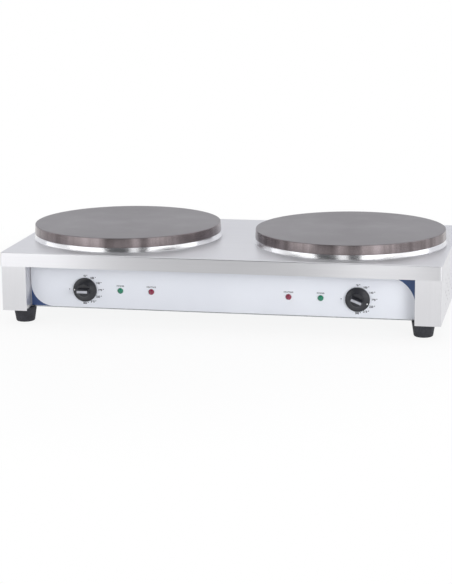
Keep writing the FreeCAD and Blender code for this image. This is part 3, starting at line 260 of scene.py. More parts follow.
def seasoned_plate(side):
    centre = plate_axes[side][0]
    material, tree, place = start_material("cast_iron_seasoned_" + side)
    offset = add(tree, "VectorMath", {0: place, 1: [centre.x, centre.y, 0]}, operation="SUBTRACT")
    flat = add(tree, "VectorMath", {0: offset.outputs[0], 1: [1, 1, 0]}, operation="MULTIPLY")
    distance = add(tree, "VectorMath", {0: flat.outputs[0]}, operation="LENGTH").outputs["Value"]
    turns = add(tree, "Math", {0: distance, 1: 2 * math.pi / (TOOL_RINGS * MM)}, operation="MULTIPLY")
    rings = add(tree, "Math", {0: turns.outputs[0]}, operation="SINE").outputs[0]
    cloud_place = add(tree, "Mapping", {"Vector": place, "Scale": per_mm(55.0, 55.0, 9.0)}).outputs["Vector"]
    cloud = add(tree, "TexNoise", {"Vector": cloud_place, "Scale": 1.0, "Detail": 5.0}).outputs["Fac"]
    pores = add(tree, "TexNoise", {"Vector": place, "Scale": 800.0, "Detail": 4.0}).outputs["Fac"]
    face = add(tree, "ValToRGB", {"Fac": cloud},
               [(0.30, linear("#6e696c")), (0.52, linear("#746f72")), (0.74, linear("#7c777b"))])
    normal = add(tree, "NewGeometry").outputs["Normal"]
    upward = add(tree, "SeparateXYZ", {"Vector": normal}).outputs["Z"]
    is_face = add(tree, "MapRange", {"Value": upward, "From Min": 0.35, "From Max": 0.9}).outputs["Result"]
    # The edge's colour runs in lighter upright bands: painted highlight streaks.
    painted_streak_place = add(tree, "Mapping", {"Vector": place, "Scale": per_mm(16.0, 16.0, 200.0)})
    painted_highlight_streak = add(tree, "TexNoise", {"Vector": painted_streak_place.outputs["Vector"], "Scale": 1.0, "Detail": 3.0})
    edge = add(tree, "ValToRGB", {"Fac": painted_highlight_streak.outputs["Fac"]},
               [(0.32, linear("#726a6b")), (0.70, linear("#91888a"))])
    colour = add(tree, "Mix", {"Factor": is_face, "A": edge.outputs["Color"], "B": face.outputs["Color"]},
                 data_type="RGBA")
    smooth = add(tree, "MapRange", {"Value": cloud, "From Min": 0.3, "From Max": 0.7,
                                    "To Min": 0.30, "To Max": 0.38})
    rough = add(tree, "Mix", {"Factor": is_face, "A": RIM_ROUGHNESS, "B": smooth.outputs["Result"]},
                data_type="FLOAT")
    metal = add(tree, "Mix", {"Factor": is_face, "A": RIM_METAL, "B": FACE_METAL}, data_type="FLOAT")
    pull = add(tree, "Mix", {"Factor": is_face, "A": RIM_PULL, "B": FACE_PULL}, data_type="FLOAT")
    tooled = add(tree, "Bump", {"Height": rings, "Distance": 0.0025 * MM})
    porous = add(tree, "Bump", {"Height": pores, "Distance": 0.008 * MM, "Normal": tooled.outputs["Normal"]})
    turned = add(tree, "Tangent", direction_type="RADIAL", axis="Z")
    shader = add(tree, "BsdfPrincipled", {
        "Base Color": colour.outputs["Result"], "Metallic": metal.outputs["Result"],
        "Roughness": rough.outputs["Result"], "Anisotropic": pull.outputs["Result"],
        "Anisotropic Rotation": 0.25, "Tangent": turned.outputs["Tangent"],
        "Normal": porous.outputs["Normal"],
    })
    return finish_material(material, shader)


iron = {side: seasoned_plate(side) for side in plate_axes}

# %% [markdown]
# ## Moulded plastics and rubber
#
# The knobs are black phenolic with a fine spark-eroded grain, the gland and terminal block are
# nylon, and the feet are carbon-black rubber with a dull, speckled skin. What separates one
# moulding from another is its two tones, how rough it is and how deep its grain goes, so one
# function makes them all. Grain of 0.3 mm is drawn as 0.6 mm or more, to survive the distance.


# %% Moulded polymers
def moulded(name, dark, light, roughness, grain, depth):
    """A moulded polymer from its two tones, roughness, and grain width and depth in mm."""
    material, tree, place = start_material(name)
    cloud = add(tree, "TexNoise", {"Vector": place, "Scale": 55.0, "Detail": 3.0}).outputs["Fac"]
    skin_place = add(tree, "Mapping", {"Vector": place, "Scale": per_mm(grain, grain, grain)})
    skin = add(tree, "TexNoise", {"Vector": skin_place.outputs["Vector"], "Scale": 1.0, "Detail": 3.0})
    tone = add(tree, "Mix", {"Factor": 0.5, "A": cloud, "B": skin.outputs["Fac"]}, data_type="FLOAT")
    colour = add(tree, "ValToRGB", {"Fac": tone.outputs["Result"]},
                 [(0.36, linear(dark)), (0.64, linear(light))])
    rough = add(tree, "MapRange", {"Value": cloud, "From Min": 0.3, "From Max": 0.7,
                                   "To Min": roughness - 0.04, "To Max": roughness + 0.04})
    relief = add(tree, "Bump", {"Height": skin.outputs["Fac"], "Distance": depth * MM})
    shader = add(tree, "BsdfPrincipled", {
        "Base Color": colour.outputs["Color"], "Roughness": rough.outputs["Result"],
        "Normal": relief.outputs["Normal"],
    })
    return finish_material(material, shader)


knob_phenolic = moulded("phenolic_black_grained", "#1c1d22", "#2a2b31", 0.33, 0.6, 0.008)
housing_phenolic = moulded("phenolic_black_plain", "#1c1c1e", "#26262a", 0.45, 0.8, 0.01)
foot_rubber = moulded("rubber_carbon_black", "#1f2025", "#3a3b42", 0.70, 1.8, 0.08)
gland_nylon = moulded("nylon_black", "#1d1e21", "#2a2b2f", 0.42, 1.0, 0.02)
block_nylon = moulded("nylon_cream", "#d8d0b4", "#e4dcc2", 0.40, 1.0, 0.01)
fibre_board = moulded("ceramic_fibre_board", "#d9d4c6", "#ebe7dc", 0.90, 2.0, 0.35)
pointer_paint = moulded("paint_white_filled", "#e4e5e6", "#f2f2f2", 0.45, 0.6, 0.01)

# %% [markdown]
# ## Lamp lenses
#
# A neon lamp's lens is tinted polycarbonate. Unlit, it is a dark glossy bead whose moulded
# prisms scatter a little brighter colour, so a clear coat lies over a deep colour, a fine Voronoi
# bump stands for the prisms, and a little light passes through.


# %% Lens plastic
def lens_plastic(name, deep, bright):
    material, tree, place = start_material(name)
    prisms = add(tree, "TexVoronoi", {"Vector": place, "Scale": 900.0}).outputs["Distance"]
    colour = add(tree, "ValToRGB", {"Fac": prisms}, [(0.0, linear(bright)), (0.75, linear(deep))])
    rough = add(tree, "MapRange", {"Value": prisms, "To Min": 0.14, "To Max": 0.24})
    relief = add(tree, "Bump", {"Height": prisms, "Distance": 0.04 * MM})
    shader = add(tree, "BsdfPrincipled", {
        "Base Color": colour.outputs["Color"], "Roughness": rough.outputs["Result"], "IOR": 1.585,
        "Transmission Weight": 0.08, "Coat Weight": 0.35, "Coat Roughness": 0.06,
        "Normal": relief.outputs["Normal"],
    })
    return finish_material(material, shader)


lens_green = lens_plastic("polycarbonate_green", "#006a4d", "#0c9c75")
lens_red = lens_plastic("polycarbonate_red", "#780c33", "#a81f4c")

# %% [markdown]
# ## Printed film
#
# The fascia carries a 0.4 mm polyester film, printed on its back and lightly textured on its
# face: pale blue-grey and satin. Blue corners and lettering are ink under the same skin, so they
# share its gloss and only change colour.


# %% Film and inks
def printed_film(name, dark, light):
    material, tree, place = start_material(name)
    cloud = add(tree, "TexNoise", {"Vector": place, "Scale": 7.0, "Detail": 2.0}).outputs["Fac"]
    skin = add(tree, "TexNoise", {"Vector": place, "Scale": 1100.0, "Detail": 2.0}).outputs["Fac"]
    colour = add(tree, "ValToRGB", {"Fac": cloud}, [(0.3, linear(dark)), (0.7, linear(light))])
    rough = add(tree, "MapRange", {"Value": skin, "From Min": 0.3, "From Max": 0.7,
                                   "To Min": 0.30, "To Max": 0.40})
    relief = add(tree, "Bump", {"Height": skin, "Distance": 0.003 * MM})
    shader = add(tree, "BsdfPrincipled", {
        "Base Color": colour.outputs["Color"], "Roughness": rough.outputs["Result"], "IOR": 1.57,
        "Normal": relief.outputs["Normal"],
    })
    return finish_material(material, shader)


film_pale = printed_film("polyester_film_pale", "#e3e6ee", "#e8ebf2")
ink_blue = printed_film("ink_blue", "#1c3c72", "#254a80")
ink_grey = printed_film("ink_dark_grey", "#23252d", "#2d2f37")

# %% [markdown]
# ## Small metals
#
# Plated screws, the turned shaft, the silver strip on each knob, oxidised heater sheath, drawn
# copper and brass are bare metals that differ in tint and polish, and in how their grain runs.


# %% Small metals
def small_metal(name, dark, light, roughness, grain, depth=0.003):
    """A bare metal from its two tones, roughness, grain size along X, Y and Z, and depth in mm."""
    material, tree, place = start_material(name)
    cloud = add(tree, "TexNoise", {"Vector": place, "Scale": 110.0, "Detail": 3.0}).outputs["Fac"]
    grain_place = add(tree, "Mapping", {"Vector": place, "Scale": per_mm(*grain)}).outputs["Vector"]
    marks = add(tree, "TexNoise", {"Vector": grain_place, "Scale": 1.0, "Detail": 3.0}).outputs["Fac"]
    colour = add(tree, "ValToRGB", {"Fac": cloud}, [(0.3, linear(dark)), (0.7, linear(light))])
    rough = add(tree, "MapRange", {"Value": marks, "From Min": 0.3, "From Max": 0.7,
                                   "To Min": roughness - 0.05, "To Max": roughness + 0.05})
    relief = add(tree, "Bump", {"Height": marks, "Distance": depth * MM})
    shader = add(tree, "BsdfPrincipled", {
        "Base Color": colour.outputs["Color"], "Metallic": 1.0, "Roughness": rough.outputs["Result"],
        "Normal": relief.outputs["Normal"],
    })
    return finish_material(material, shader)


zinc_plate = small_metal("zinc_plated_steel", "#a7a9a4", "#c4c6c2", 0.32, (0.8, 0.8, 0.8))
silver_strip = small_metal("silver_strip_brushed", "#a9abb2", "#c0c2c9", 0.38, (14.0, 0.5, 0.5))
heater_sheath = small_metal("heater_sheath_oxidised", "#34322f", "#4a4743", 0.55, (1.2, 1.2, 1.2), 0.02)
copper = small_metal("copper_drawn", "#b06c48", "#c98860", 0.30, (1.0, 1.0, 1.0))
brass = small_metal("brass_turned", "#b3924c", "#cbab66", 0.28, (0.8, 0.8, 0.8))

# %% [markdown]
# ## Finish the frame's own pieces
#
# A frame node keeps its mesh and only takes a better material. The table says which finish each
# kind of piece has; left and right share it, so a node is looked up without its side.

# %% Materials on the frame's nodes
FINISHES = {
    "worktop": steel_lengthwise, "front_panel": steel_lengthwise, "rear_panel": steel_lengthwise,
    "side_panel": steel_upright, "base_plate": zinc_sheet, "heater_pan": zinc_sheet,
    "element_clamp": zinc_sheet, "plate_bridge": zinc_sheet, "fascia_overlay": film_pale,
    "plate_ring": buffed_steel, "insulation_pad": fibre_board, "heating_element": heater_sheath,
    "foot": foot_rubber, "foot_screws": zinc_plate, "rear_panel_screws": zinc_plate,
    "thermostat_screws": zinc_plate, "plate_nut": zinc_plate, "thermostat_shaft": zinc_plate,
    "thermostat": housing_phenolic, "overheat_limiter": housing_phenolic,
    "lamp_housings": housing_phenolic, "capillary_tube": copper, "sensor_bulb": copper,
    "knob": knob_phenolic, "knob_inlay": silver_strip, "knob_pointer": pointer_paint,
    "green_lens": lens_green, "red_lens": lens_red, "cable_gland": gland_nylon,
    "terminal_block": block_nylon, "earth_terminal": brass,
}
PLACES = ("front_left_", "front_right_", "rear_left_", "rear_right_", "left_", "right_")


def finish_of(name):
    """The material of a node, whichever side it is on."""
    if name.endswith("cooking_plate"):
        return iron[name.split("_")[0]]
    for place in PLACES:
        if name.startswith(place):
            return FINISHES[name[len(place):]]
    return FINISHES[name]


def dress(obj, material):
    obj.data.materials.clear()
    obj.data.materials.append(material)


for name, node in nodes.items():
    for index in range(len(node.data.materials)):
        node.data.materials[index] = finish_of(name)
print("dressed", len(nodes), "frame nodes")

# %% [markdown]
# ## A lathe for round pieces
#
# Plate, skirt, foot and knob are each one profile turned about an axis. The profile is a list of
# radius, height and fillet, and a fillet is drawn as a short curve through the corner, as a
# turner would leave it. Faces are quads, shaded smooth, with the true edges kept sharp by angle.

# %% Mesh helpers
LATHE_STEPS = 192
JOIN_GAP = 0.001 * MM


def rounded(corners, steps=5):
    """Points along a profile of (radius, height, fillet) corners, all in mm."""
    points = []
    for index, (radius, height, fillet) in enumerate(corners):
        here = Vector((radius, height)) * MM
        if fillet <= 0 or index in (0, len(corners) - 1):
            points.append(here)
            continue
        before = Vector(corners[index - 1][:2]) * MM - here
        after = Vector(corners[index + 1][:2]) * MM - here
        setback = fillet * MM / math.tan(before.angle(after) / 2)
        setback = min(setback, before.length * 0.49, after.length * 0.49)
        start, end = here + before.normalized() * setback, here + after.normalized() * setback
        for t in (k / steps for k in range(steps + 1)):
            points.append((1 - t) ** 2 * start + 2 * t * (1 - t) * here + t ** 2 * end)
    return points


def lathe(name, profile, steps=LATHE_STEPS):
    """Turns profile points about Z; a profile that ends where it starts closes on itself."""
    mesh = bmesh.new()
    angles = [2 * math.pi * k / steps for k in range(steps)]
    rows = []
    for point in profile:
        if point.x < JOIN_GAP:
            rows.append([mesh.verts.new((0, 0, point.y))])
        else:
            rows.append([mesh.verts.new((point.x * math.cos(a), point.x * math.sin(a), point.y))
                         for a in angles])
    for one, two in zip(rows, rows[1:]):
        for k in range(steps):
            n = (k + 1) % steps
            ring = [one[k % len(one)], one[n % len(one)], two[n % len(two)], two[k % len(two)]]
            corners = list(dict.fromkeys(ring))
            if len(corners) > 2:
                mesh.faces.new(corners)
    bmesh.ops.remove_doubles(mesh, verts=mesh.verts, dist=JOIN_GAP)
    return to_object(name, mesh)


def to_object(name, mesh, sharp_degrees=35.0):
    """A bmesh as a new object: normals outward, smooth but for its sharp edges."""
    bmesh.ops.recalc_face_normals(mesh, faces=mesh.faces)
    data = bpy.data.meshes.new(name)
    mesh.to_mesh(data)
    mesh.free()
    data.shade_smooth()
    data.set_sharp_from_angle(angle=math.radians(sharp_degrees))
    obj = bpy.data.objects.new(name, data)
    bpy.context.scene.collection.objects.link(obj)
    return obj


def settle(obj, matrix, material, body, slot, *replaced):
    """Puts a new piece in place with its finish, its body and what it stands for; the slot is not used."""
    obj.data.transform(matrix)
    dress(obj, material)
    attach(obj, body)
    if replaced:
        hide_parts(*replaced)
    print(obj.name, "on", body, "with", len(obj.data.polygons), "faces")
    return obj


CABINET = "cabinet"

# %% [markdown]
# ## Cooking plates
#
# A 400 mm disc, 20 mm thick at its rim, with a shallow web inside and a boss for its stud. The
# face has to stay flat to spread batter, so only the soft edge and the rim show any shape. The rim
# leans in by 1 mm towards the face, the draft that lets a casting leave its mould, and so it
# mirrors the lamps and not the table.

# %% Turn the plates
RIM_HEIGHT, RIM_WIDTH, WEB_THICKNESS = 20.0, 12.0, 9.0
BOSS_RADIUS, BOSS_DEPTH, STUD_RADIUS = 17.0, 6.0, 5.0
DRAFT, RIM_DRAFT = 1.6, 1.0
FACE_BORDER = 10.0


def cooking_plate(side):
    centre, radius, top = plate_axes[side]
    radius, top, stud_end = radius / MM, top / MM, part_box(side + "_cooking_plate")[0].z / MM
    web, rim = top - WEB_THICKNESS, top - RIM_HEIGHT
    inside = radius - RIM_WIDTH
    profile = rounded([
        (0, stud_end, 0), (STUD_RADIUS, stud_end, 0.6), (STUD_RADIUS, web - BOSS_DEPTH, 0.5),
        (BOSS_RADIUS, web - BOSS_DEPTH, 1.5), (BOSS_RADIUS + DRAFT, web, 1.5),
        (inside - DRAFT, web, 1.5), (inside, rim, 0.6), (radius, rim, 0.8),
        (radius - RIM_DRAFT, top, 1.7), (radius - FACE_BORDER, top, 0), (0, top, 0),
    ])
    obj = lathe(side + "_plate_turned", profile)
    place = Matrix.Translation((centre.x, centre.y, 0))
    settle(obj, place, iron[side], CABINET, "seasoned_cast_iron", side + "_cooking_plate")


for side in plate_axes:
    cooking_plate(side)

# %% [markdown]
# ## Buffed skirts
#
# Between plate and worktop sits a spun collar that hides the heater. Its wall leans out to a
# rolled bead on the sheet, so it looks up a little and mirrors the lights.

# %% Turn the skirts
SKIRT_LEAN, BEAD_RADIUS, SKIRT_WALL = 4.0, 0.7, 1.0
LEAN_CURVE, WALL_STEPS, BEAD_STEPS = 1.25, 10, 8


def plate_skirt(side):
    centre = plate_axes[side][0]
    low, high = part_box(side + "_plate_ring")
    foot, bottom, top_z = (high.x - low.x) / 2 / MM, low.z / MM, high.z / MM
    top = foot - SKIRT_LEAN
    bead = Vector((foot - BEAD_RADIUS, bottom + BEAD_RADIUS))
    wall = []
    for t in (k / WALL_STEPS for k in range(WALL_STEPS + 1)):
        out, down = (bead.x - top) * t ** LEAN_CURVE, (bead.y + BEAD_RADIUS - top_z) * t
        wall.append(Vector((top + out, top_z + down)))
    roll = []
    for a in (math.pi * k / BEAD_STEPS for k in range(1, BEAD_STEPS + 1)):
        roll.append(bead + BEAD_RADIUS * Vector((math.sin(a), math.cos(a))))
    inside = [Vector((top - SKIRT_WALL, bottom)), Vector((top - SKIRT_WALL, top_z)), wall[0]]
    obj = lathe(side + "_skirt_spun", [point * MM for point in (*wall, *roll, *inside)])
    place = Matrix.Translation((centre.x, centre.y, 0))
    settle(obj, place, buffed_steel, CABINET, "polished_stainless", side + "_plate_ring")


for side in plate_axes:
    plate_skirt(side)

# %% [markdown]
# ## Rubber feet
#
# Each foot is a tapered moulding with a rounded tread and a deep recess for its screw.

# %% Turn the feet
FOOT_TAPER, FOOT_BORE, SCREW_HOLE, RECESS = 5.0, 7.0, 3.2, 14.0
FOOT_STEPS = 96


def rubber_foot(node):
    low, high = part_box(node)
    centre = (low + high) / 2
    top, bottom, height = (high.x - low.x) / 2 / MM, low.z / MM, high.z / MM
    profile = rounded([
        (SCREW_HOLE, RECESS, 0), (FOOT_BORE, RECESS, 0.4), (FOOT_BORE, bottom, 0.7),
        (top - FOOT_TAPER, bottom, 3.4), (top, height, 0.8), (SCREW_HOLE, height, 0),
        (SCREW_HOLE, RECESS, 0),
    ])
    obj = lathe(node + "_moulded", profile, steps=FOOT_STEPS)
    place = Matrix.Translation((centre.x, centre.y, 0))
    settle(obj, place, foot_rubber, CABINET, "black_rubber", node)


for corner in ("front_left", "front_right", "rear_left", "rear_right"):
    rubber_foot(corner + "_foot")

# %% [markdown]
# ## Knobs
#
# A knob is a dished skirt with a straight bar to grip. The dish is turned; the bar is a tapered
# block with softened edges, sunk into the crown. They are one moulding, so a boolean joins them.
# The knob on the right is turned part way round, so its mesh is rotated about its own axis.

# %% Where the knobs are
knob_axis, knob_turn = {}, {"left": 0.0}
for joint in frame["joints"]:
    side = joint["name"].split("_")[0]
    knob_axis[side] = Vector(joint["pos_m"])
    knob_turn[side] = -math.radians(joint["range_deg"][0])
    print(side, "knob stands at", round(math.degrees(knob_turn[side])), "degrees from its off mark")


def on_knob_axis(side):
    """From a piece built round +Z to the knob's place, its face to the front and turned."""
    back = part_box(side + "_knob")[1].y
    to_front = Matrix.Rotation(math.radians(90), 4, "X")
    turn = Matrix.Rotation(knob_turn[side], 4, "Y")
    return Matrix.Translation((knob_axis[side].x, back, knob_axis[side].z)) @ turn @ to_front


# %% Model the knobs
KNOB_RADIUS, KNOB_HEIGHT, FLANGE = 25.0, 25.0, 2.6
CROWN_RADIUS, CROWN_HEIGHT = 13.0, 11.0
DISH_EDGE, DISH_LIFT, DISH_FALL, DISH_CLIMB, DISH_CURVE = 24.4, 0.6, 10.4, 6.3, 1.45
SHAFT_HOLE, CAVITY = 3.2, 5.0
GRIP_FOOT, GRIP_TOP, GRIP_SUNK = (26.0, 13.0), (24.5, 7.0), 5.2
GRIP_BEVEL = 0.9
KNOB_STEPS = 128


def knob_dish():
    """The dished skirt, hollow behind."""
    dish = []
    for t in (k / 10 for k in range(1, 10)):
        height = FLANGE + DISH_LIFT + DISH_CLIMB * t ** DISH_CURVE
        dish.append((DISH_EDGE - DISH_FALL * t, height, 0))
    return rounded([
        (SHAFT_HOLE, CAVITY, 0), (17.0, CAVITY, 0.5), (21.0, 0.0, 0.3), (DISH_EDGE, 0.0, 0.3),
        (KNOB_RADIUS, DISH_LIFT, 0.3), (KNOB_RADIUS, FLANGE, 0.4), (DISH_EDGE, FLANGE + DISH_LIFT, 0.2),
        *dish, (14.0, 9.5, 0.4), (CROWN_RADIUS, CROWN_HEIGHT, 0.6), (SHAFT_HOLE, CROWN_HEIGHT, 0),
        (SHAFT_HOLE, CAVITY, 0),
    ], steps=3)


def grip_bar():
    """The tapered bar, with all its edges bevelled."""
    mesh = bmesh.new()
    rows = []
    for (length, width), height in ((GRIP_FOOT, GRIP_SUNK), (GRIP_TOP, KNOB_HEIGHT)):
        corners = ((-length, -width), (length, -width), (length, width), (-length, width))
        rows.append([mesh.verts.new((x / 2 * MM, y / 2 * MM, height * MM)) for x, y in corners])
    mesh.faces.new(rows[0])
    mesh.faces.new(rows[1])
    for k in range(4):
        n = (k + 1) % 4
        mesh.faces.new([rows[0][k], rows[0][n], rows[1][n], rows[1][k]])
    bmesh.ops.bevel(mesh, geom=mesh.edges[:], offset=GRIP_BEVEL * MM, segments=4, profile=0.5,
                    affect="EDGES")
    return to_object("grip_bar", mesh)


def knob(side):
    obj = lathe(side + "_knob_moulded", knob_dish(), steps=KNOB_STEPS)
    bar = grip_bar()
    join = obj.modifiers.new("join", "BOOLEAN")
    join.operation, join.solver, join.object = "UNION", "EXACT", bar
    evaluated = obj.evaluated_get(bpy.context.evaluated_depsgraph_get())
    joined = bpy.data.meshes.new_from_object(evaluated)
    obj.modifiers.clear()
    obj.data = joined
    bpy.data.objects.remove(bar)
    joined.shade_smooth()
    joined.set_sharp_from_angle(angle=math.radians(30.0))
    settle(obj, on_knob_axis(side), knob_phenolic, side + "_knob_body", "black_knob_plastic", side + "_knob")


for side in plate_axes:
    knob(side)

# %% [markdown]
# ## Print on the fascia
#
# The film shows a dial of plain temperatures round each knob, a word over each lamp and two blue
# corners. Each print is a thin solid that stands 0.05 mm off the film: real geometry stays crisp
# at any distance and needs no image.

# %% Print helpers
film_low, film_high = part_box("fascia_overlay")
INK = 0.05 * MM
BOLDNESS = 0.045
UPRIGHT = Matrix.Rotation(math.radians(90), 4, "X")


def print_shape(name, outline, material):
    """A flat printed shape on the film, from (x, z) points in metres."""
    mesh = bmesh.new()
    face = mesh.faces.new([mesh.verts.new((x, film_low.y - INK, z)) for x, z in outline])
    raised = bmesh.ops.extrude_face_region(mesh, geom=[face])["geom"]
    back = [v for v in raised if isinstance(v, bmesh.types.BMVert)]
    bmesh.ops.translate(mesh, verts=back, vec=(0, INK, 0))
    settle(to_object(name, mesh), Matrix(), material, CABINET, "printed_film")


def print_words(name, words, x, z, height, spacing=1.0):
    """Words on the film, centred on (x, z), in metres."""
    curve = bpy.data.curves.new(name, "FONT")
    curve.body, curve.size, curve.space_character = words, height, spacing
    curve.align_x, curve.align_y = "CENTER", "CENTER"
    curve.extrude, curve.offset = INK / 2, height * BOLDNESS
    source = bpy.data.objects.new(name + "_curve", curve)
    bpy.context.scene.collection.objects.link(source)
    evaluated = source.evaluated_get(bpy.context.evaluated_depsgraph_get())
    obj = bpy.data.objects.new(name, bpy.data.meshes.new_from_object(evaluated))
    bpy.data.objects.remove(source)
    bpy.context.scene.collection.objects.link(obj)
    place = Matrix.Translation((x, film_low.y - INK / 2, z)) @ UPRIGHT
    settle(obj, place, ink_grey, CABINET, "printed_film")


# %% Blue corners
BLUE_RADIUS_LOW, BLUE_RADIUS_HIGH = 46.0 * MM, 61.0 * MM
BLUE_STEPS = 32


def blue_corner(name, corner, towards, radius):
    """A square corner of the film less a quarter round that faces the middle."""
    (x, z), (step_x, step_z) = corner, towards
    arc = []
    for a in (math.pi / 2 * k / BLUE_STEPS for k in range(BLUE_STEPS + 1)):
        arc.append((x + step_x * radius * (1 - math.sin(a)), z + step_z * radius * (1 - math.cos(a))))
    print_shape(name, [(x, z), *arc], ink_blue)


blue_corner("blue_corner_low", (film_low.x, film_low.z), (1, 1), BLUE_RADIUS_LOW)
blue_corner("blue_corner_high", (film_high.x, film_high.z), (-1, -1), BLUE_RADIUS_HIGH)

# %% Dial numbers
DIAL_RADIUS, DIAL_SPREAD, DIAL_TEXT = 28.6 * MM, 4.4 * MM, 5.5 * MM
DIAL_SHIFT, DIAL_STEP_DEGREES = 0.6 * MM, 30
OFF_PLACE, OFF_RADIUS, OFF_STEPS = 33.5 * MM, 1.1 * MM, 24
DEGREES = ("60", "100", "140", "180", "220", "260", "300")


def dial(side):
    """Temperatures from 12 to 6 o'clock, spread sideways to clear the knob, and the off mark."""
    axis = knob_axis[side]
    for k, number in enumerate(DEGREES):
        angle = math.radians(DIAL_STEP_DEGREES * k)
        x = axis.x + (DIAL_RADIUS + DIAL_SPREAD) * math.sin(angle) + DIAL_SHIFT
        z = axis.z + DIAL_RADIUS * math.cos(angle)
        print_words(f"{side}_dial_{number}", number + " °", x, z, DIAL_TEXT)
    off_x = axis.x - OFF_PLACE
    round_mark = [(off_x + OFF_RADIUS * math.cos(a), axis.z + OFF_RADIUS * math.sin(a))
                  for a in (2 * math.pi * k / OFF_STEPS for k in range(OFF_STEPS))]
    print_shape(side + "_dial_off", round_mark, ink_grey)


for side in plate_axes:
    dial(side)

# %% Lamp words
LAMP_TEXT, LAMP_TEXT_RISE, LAMP_TEXT_SPACING = 3.9 * MM, 3.8 * MM, 1.25
for side in plate_axes:
    for colour, words in (("green", "POWER"), ("red", "HEATING")):
        low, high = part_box(f"{side}_{colour}_lens")
        place = ((low.x + high.x) / 2, high.z + LAMP_TEXT_RISE)
        print_words(f"{side}_{colour}_word", words, *place, LAMP_TEXT, LAMP_TEXT_SPACING)

# %% [markdown]
# ## Studio
#
# A white table and plain, soft light. To the camera, and to metal and glass, the table is mostly
# its own light, so that it stays white; part of it stays plain paper and keeps the object's
# shadow. That part fades out with distance, where no shadow falls.

# %% Table
PAPER_SHARE = 0.13
SHADOW_REACH = (0.55, 1.15)
TABLE_SIZE, TABLE_DROP = 20.0, 0.5 * MM


def white_table():
    material, tree, place = start_material("studio_table_white")
    distance = add(tree, "VectorMath", {0: place}, operation="LENGTH").outputs["Value"]
    paper_share = add(tree, "MapRange", {"Value": distance, "From Min": SHADOW_REACH[0],
                                         "From Max": SHADOW_REACH[1], "To Min": 1 - PAPER_SHARE,
                                         "To Max": 1.0}, interpolation_type="SMOOTHSTEP")
    rays = add(tree, "LightPath").outputs
    seen = add(tree, "Math", {0: rays["Is Camera Ray"], 1: rays["Is Glossy Ray"]}, operation="MAXIMUM")
    seen = add(tree, "Math", {0: seen.outputs[0], 1: rays["Is Transmission Ray"]}, operation="MAXIMUM")
    share = add(tree, "Math", {0: seen.outputs[0], 1: paper_share.outputs["Result"]}, operation="MULTIPLY")
    paper = add(tree, "BsdfDiffuse", {"Color": linear("#f2f2f2")})
    glow = add(tree, "Emission", {"Color": linear("#ffffff"), "Strength": 1.0})
    mix = add(tree, "MixShader", {0: share.outputs[0], 1: paper.outputs[0], 2: glow.outputs[0]})
    return finish_material(material, mix)


def table():
    mesh = bmesh.new()
    bmesh.ops.create_grid(mesh, x_segments=8, y_segments=8, size=TABLE_SIZE)
    obj = to_object("studio_table", mesh)
    obj.location.z = -TABLE_DROP
    dress(obj, white_table())


table()

# %% [markdown]
# The room is brighter behind the object, where a white backdrop would hang, than in front, where
# the photographer stands. At a low angle the worktop and plates mirror that backdrop, which is
# what makes them pale. The camera itself sees plain white.

# %% World
BACKDROP, ROOM = 0.94, 0.12
world = bpy.data.worlds.new("studio_world")
bpy.context.scene.world = world
world.use_nodes = True
air = world.node_tree
air.nodes.clear()
direction = add(air, "TexCoord").outputs["Generated"]
behind = add(air, "SeparateXYZ", {"Vector": direction}).outputs["Y"]
level = add(air, "MapRange", {"Value": behind, "From Min": -0.25, "From Max": 0.45, "To Min": ROOM,
                              "To Max": BACKDROP}, interpolation_type="SMOOTHSTEP")
room = add(air, "Background", {"Color": linear("#f6f7fb"), "Strength": level.outputs["Result"]})
white = add(air, "Background", {"Color": linear("#ffffff"), "Strength": 1.0})
seen = add(air, "LightPath").outputs["Is Camera Ray"]
blend = add(air, "MixShader", {0: seen, 1: room.outputs[0], 2: white.outputs[0]})
add(air, "OutputWorld", {"Surface": blend.outputs[0]})

# %% [markdown]
# The lamps are flat soft boxes that stand close round the object, like the panels of a light
# tent, with two slits left open towards the camera. Their light is soft, and brushed and
# polished metal show the slits as grey bands, which tells the eye that they are metal. The right
# panels are a little brighter than the left ones, and a key lamp low on the right lights the film,
# so the light comes from the right and the post beside the film casts a soft shadow on it. Metal
# doesn't mirror the key lamp. The camera looks past all the lamps, not at them.

# %% Soft boxes
TENT_FRONT, TENT_SIDE, TENT_TOP = cad_low.y - 0.93, 1.9, 1.3
FRONT_PANELS = {"left": (-2.2, -0.53, 1.5), "strip": (0.10, 0.34, 1.05), "right": (0.67, 2.2, 1.65)}
SIDE_PANELS = {"left": (-1.1, 0.3, 0.9), "right": (-1.1, 0.6, 1.2)}
SIDE_PANEL_BOTTOM = 0.35
TOP_PLACE, TOP_WIDTH, TOP_DEPTH, TOP_RADIANCE = (0, 0, 2.4), 2.6, 2.0, 0.9
KEY_PLACE, KEY_SIZE, KEY_RADIANCE = Vector((2.3, -2.6, 0.75)), 1.2, 7.0


def soft_box(name, middle, facing, width, height, radiance):
    """A rectangular lamp from its middle and facing direction, set by how bright its face is."""
    lamp = bpy.data.lights.new(name, "AREA")
    lamp.shape = "RECTANGLE"
    lamp.size, lamp.size_y = width, height
    lamp.energy = radiance * math.pi * width * height
    obj = bpy.data.objects.new(name, lamp)
    bpy.context.scene.collection.objects.link(obj)
    obj.location = middle
    obj.rotation_mode = "QUATERNION"
    obj.rotation_quaternion = Vector(facing).to_track_quat("-Z", "Y")
    obj.visible_camera = False
    print("lamp", name, round(lamp.energy), "W")
    return obj


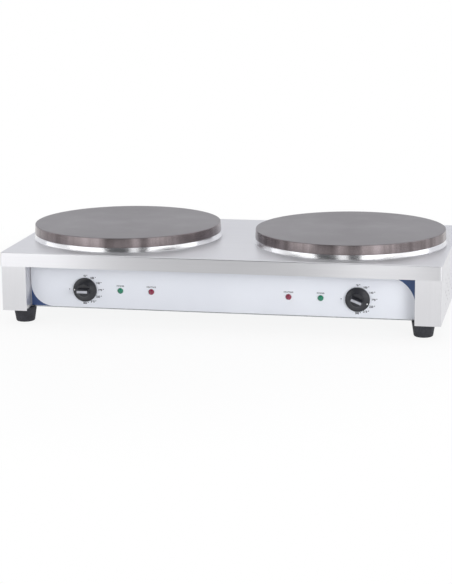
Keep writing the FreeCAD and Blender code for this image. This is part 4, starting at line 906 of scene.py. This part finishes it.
for name, (start, end, radiance) in FRONT_PANELS.items():
    middle = ((start + end) / 2, TENT_FRONT, TENT_TOP / 2)
    soft_box("front_panel_" + name, middle, (0, 1, 0), end - start, TENT_TOP, radiance)
for name, (start, end, radiance) in SIDE_PANELS.items():
    outward = -1 if name == "left" else 1
    tall, middle_z = TENT_TOP - SIDE_PANEL_BOTTOM, (SIDE_PANEL_BOTTOM + TENT_TOP) / 2
    middle = (outward * TENT_SIDE, (start + end) / 2, middle_z)
    soft_box("side_panel_" + name, middle, (-outward, 0, 0), end - start, tall, radiance)
soft_box("top_panel", TOP_PLACE, (0, 0, -1), TOP_WIDTH, TOP_DEPTH, TOP_RADIANCE)
key = soft_box("key_lamp", KEY_PLACE, -KEY_PLACE, KEY_SIZE, KEY_SIZE, KEY_RADIANCE)
key.visible_glossy = False

# %% [markdown]
# ## Camera
#
# The lens and the standpoint come from the photograph's own lines: the edges of the worktop, the
# posts and the fascia, and the ellipses of the plates and skirts, agree on one place to stand,
# almost 4 m away and to the right, with a long lens.

# %% Camera
CAMERA_PLACE = Vector((0.7399, -3.6516, 0.8541))
YAW, PITCH, ROLL = -0.2070, 0.2168, -0.0093
FOCAL_PIXELS, LONG_SIDE_PIXELS, SENSOR_WIDTH = 1781.0, 584, 36.0

forward = Vector((math.sin(YAW) * math.cos(PITCH), math.cos(YAW) * math.cos(PITCH), -math.sin(PITCH)))
level_right = Vector((math.cos(YAW), -math.sin(YAW), 0))
level_up = level_right.cross(forward)
rolled_right = level_right * math.cos(ROLL) + level_up * math.sin(ROLL)
rolled_up = level_up * math.cos(ROLL) - level_right * math.sin(ROLL)
camera_data = bpy.data.cameras.new("camera")
camera_data.sensor_width = SENSOR_WIDTH
camera_data.lens = FOCAL_PIXELS / LONG_SIDE_PIXELS * SENSOR_WIDTH
camera = bpy.data.objects.new("camera", camera_data)
bpy.context.scene.collection.objects.link(camera)
axes = Matrix((rolled_right, rolled_up, -forward)).transposed()
camera.matrix_world = Matrix.Translation(CAMERA_PLACE) @ axes.to_4x4()
bpy.context.scene.camera = camera
bpy.context.scene.view_settings.view_transform = "Standard"
print("lens", round(camera_data.lens, 1), "mm")

# %% [markdown]
# ## Last step
#
# The view layer is brought up to date. The dressed object may not outgrow its frame.

bpy.context.view_layer.update()
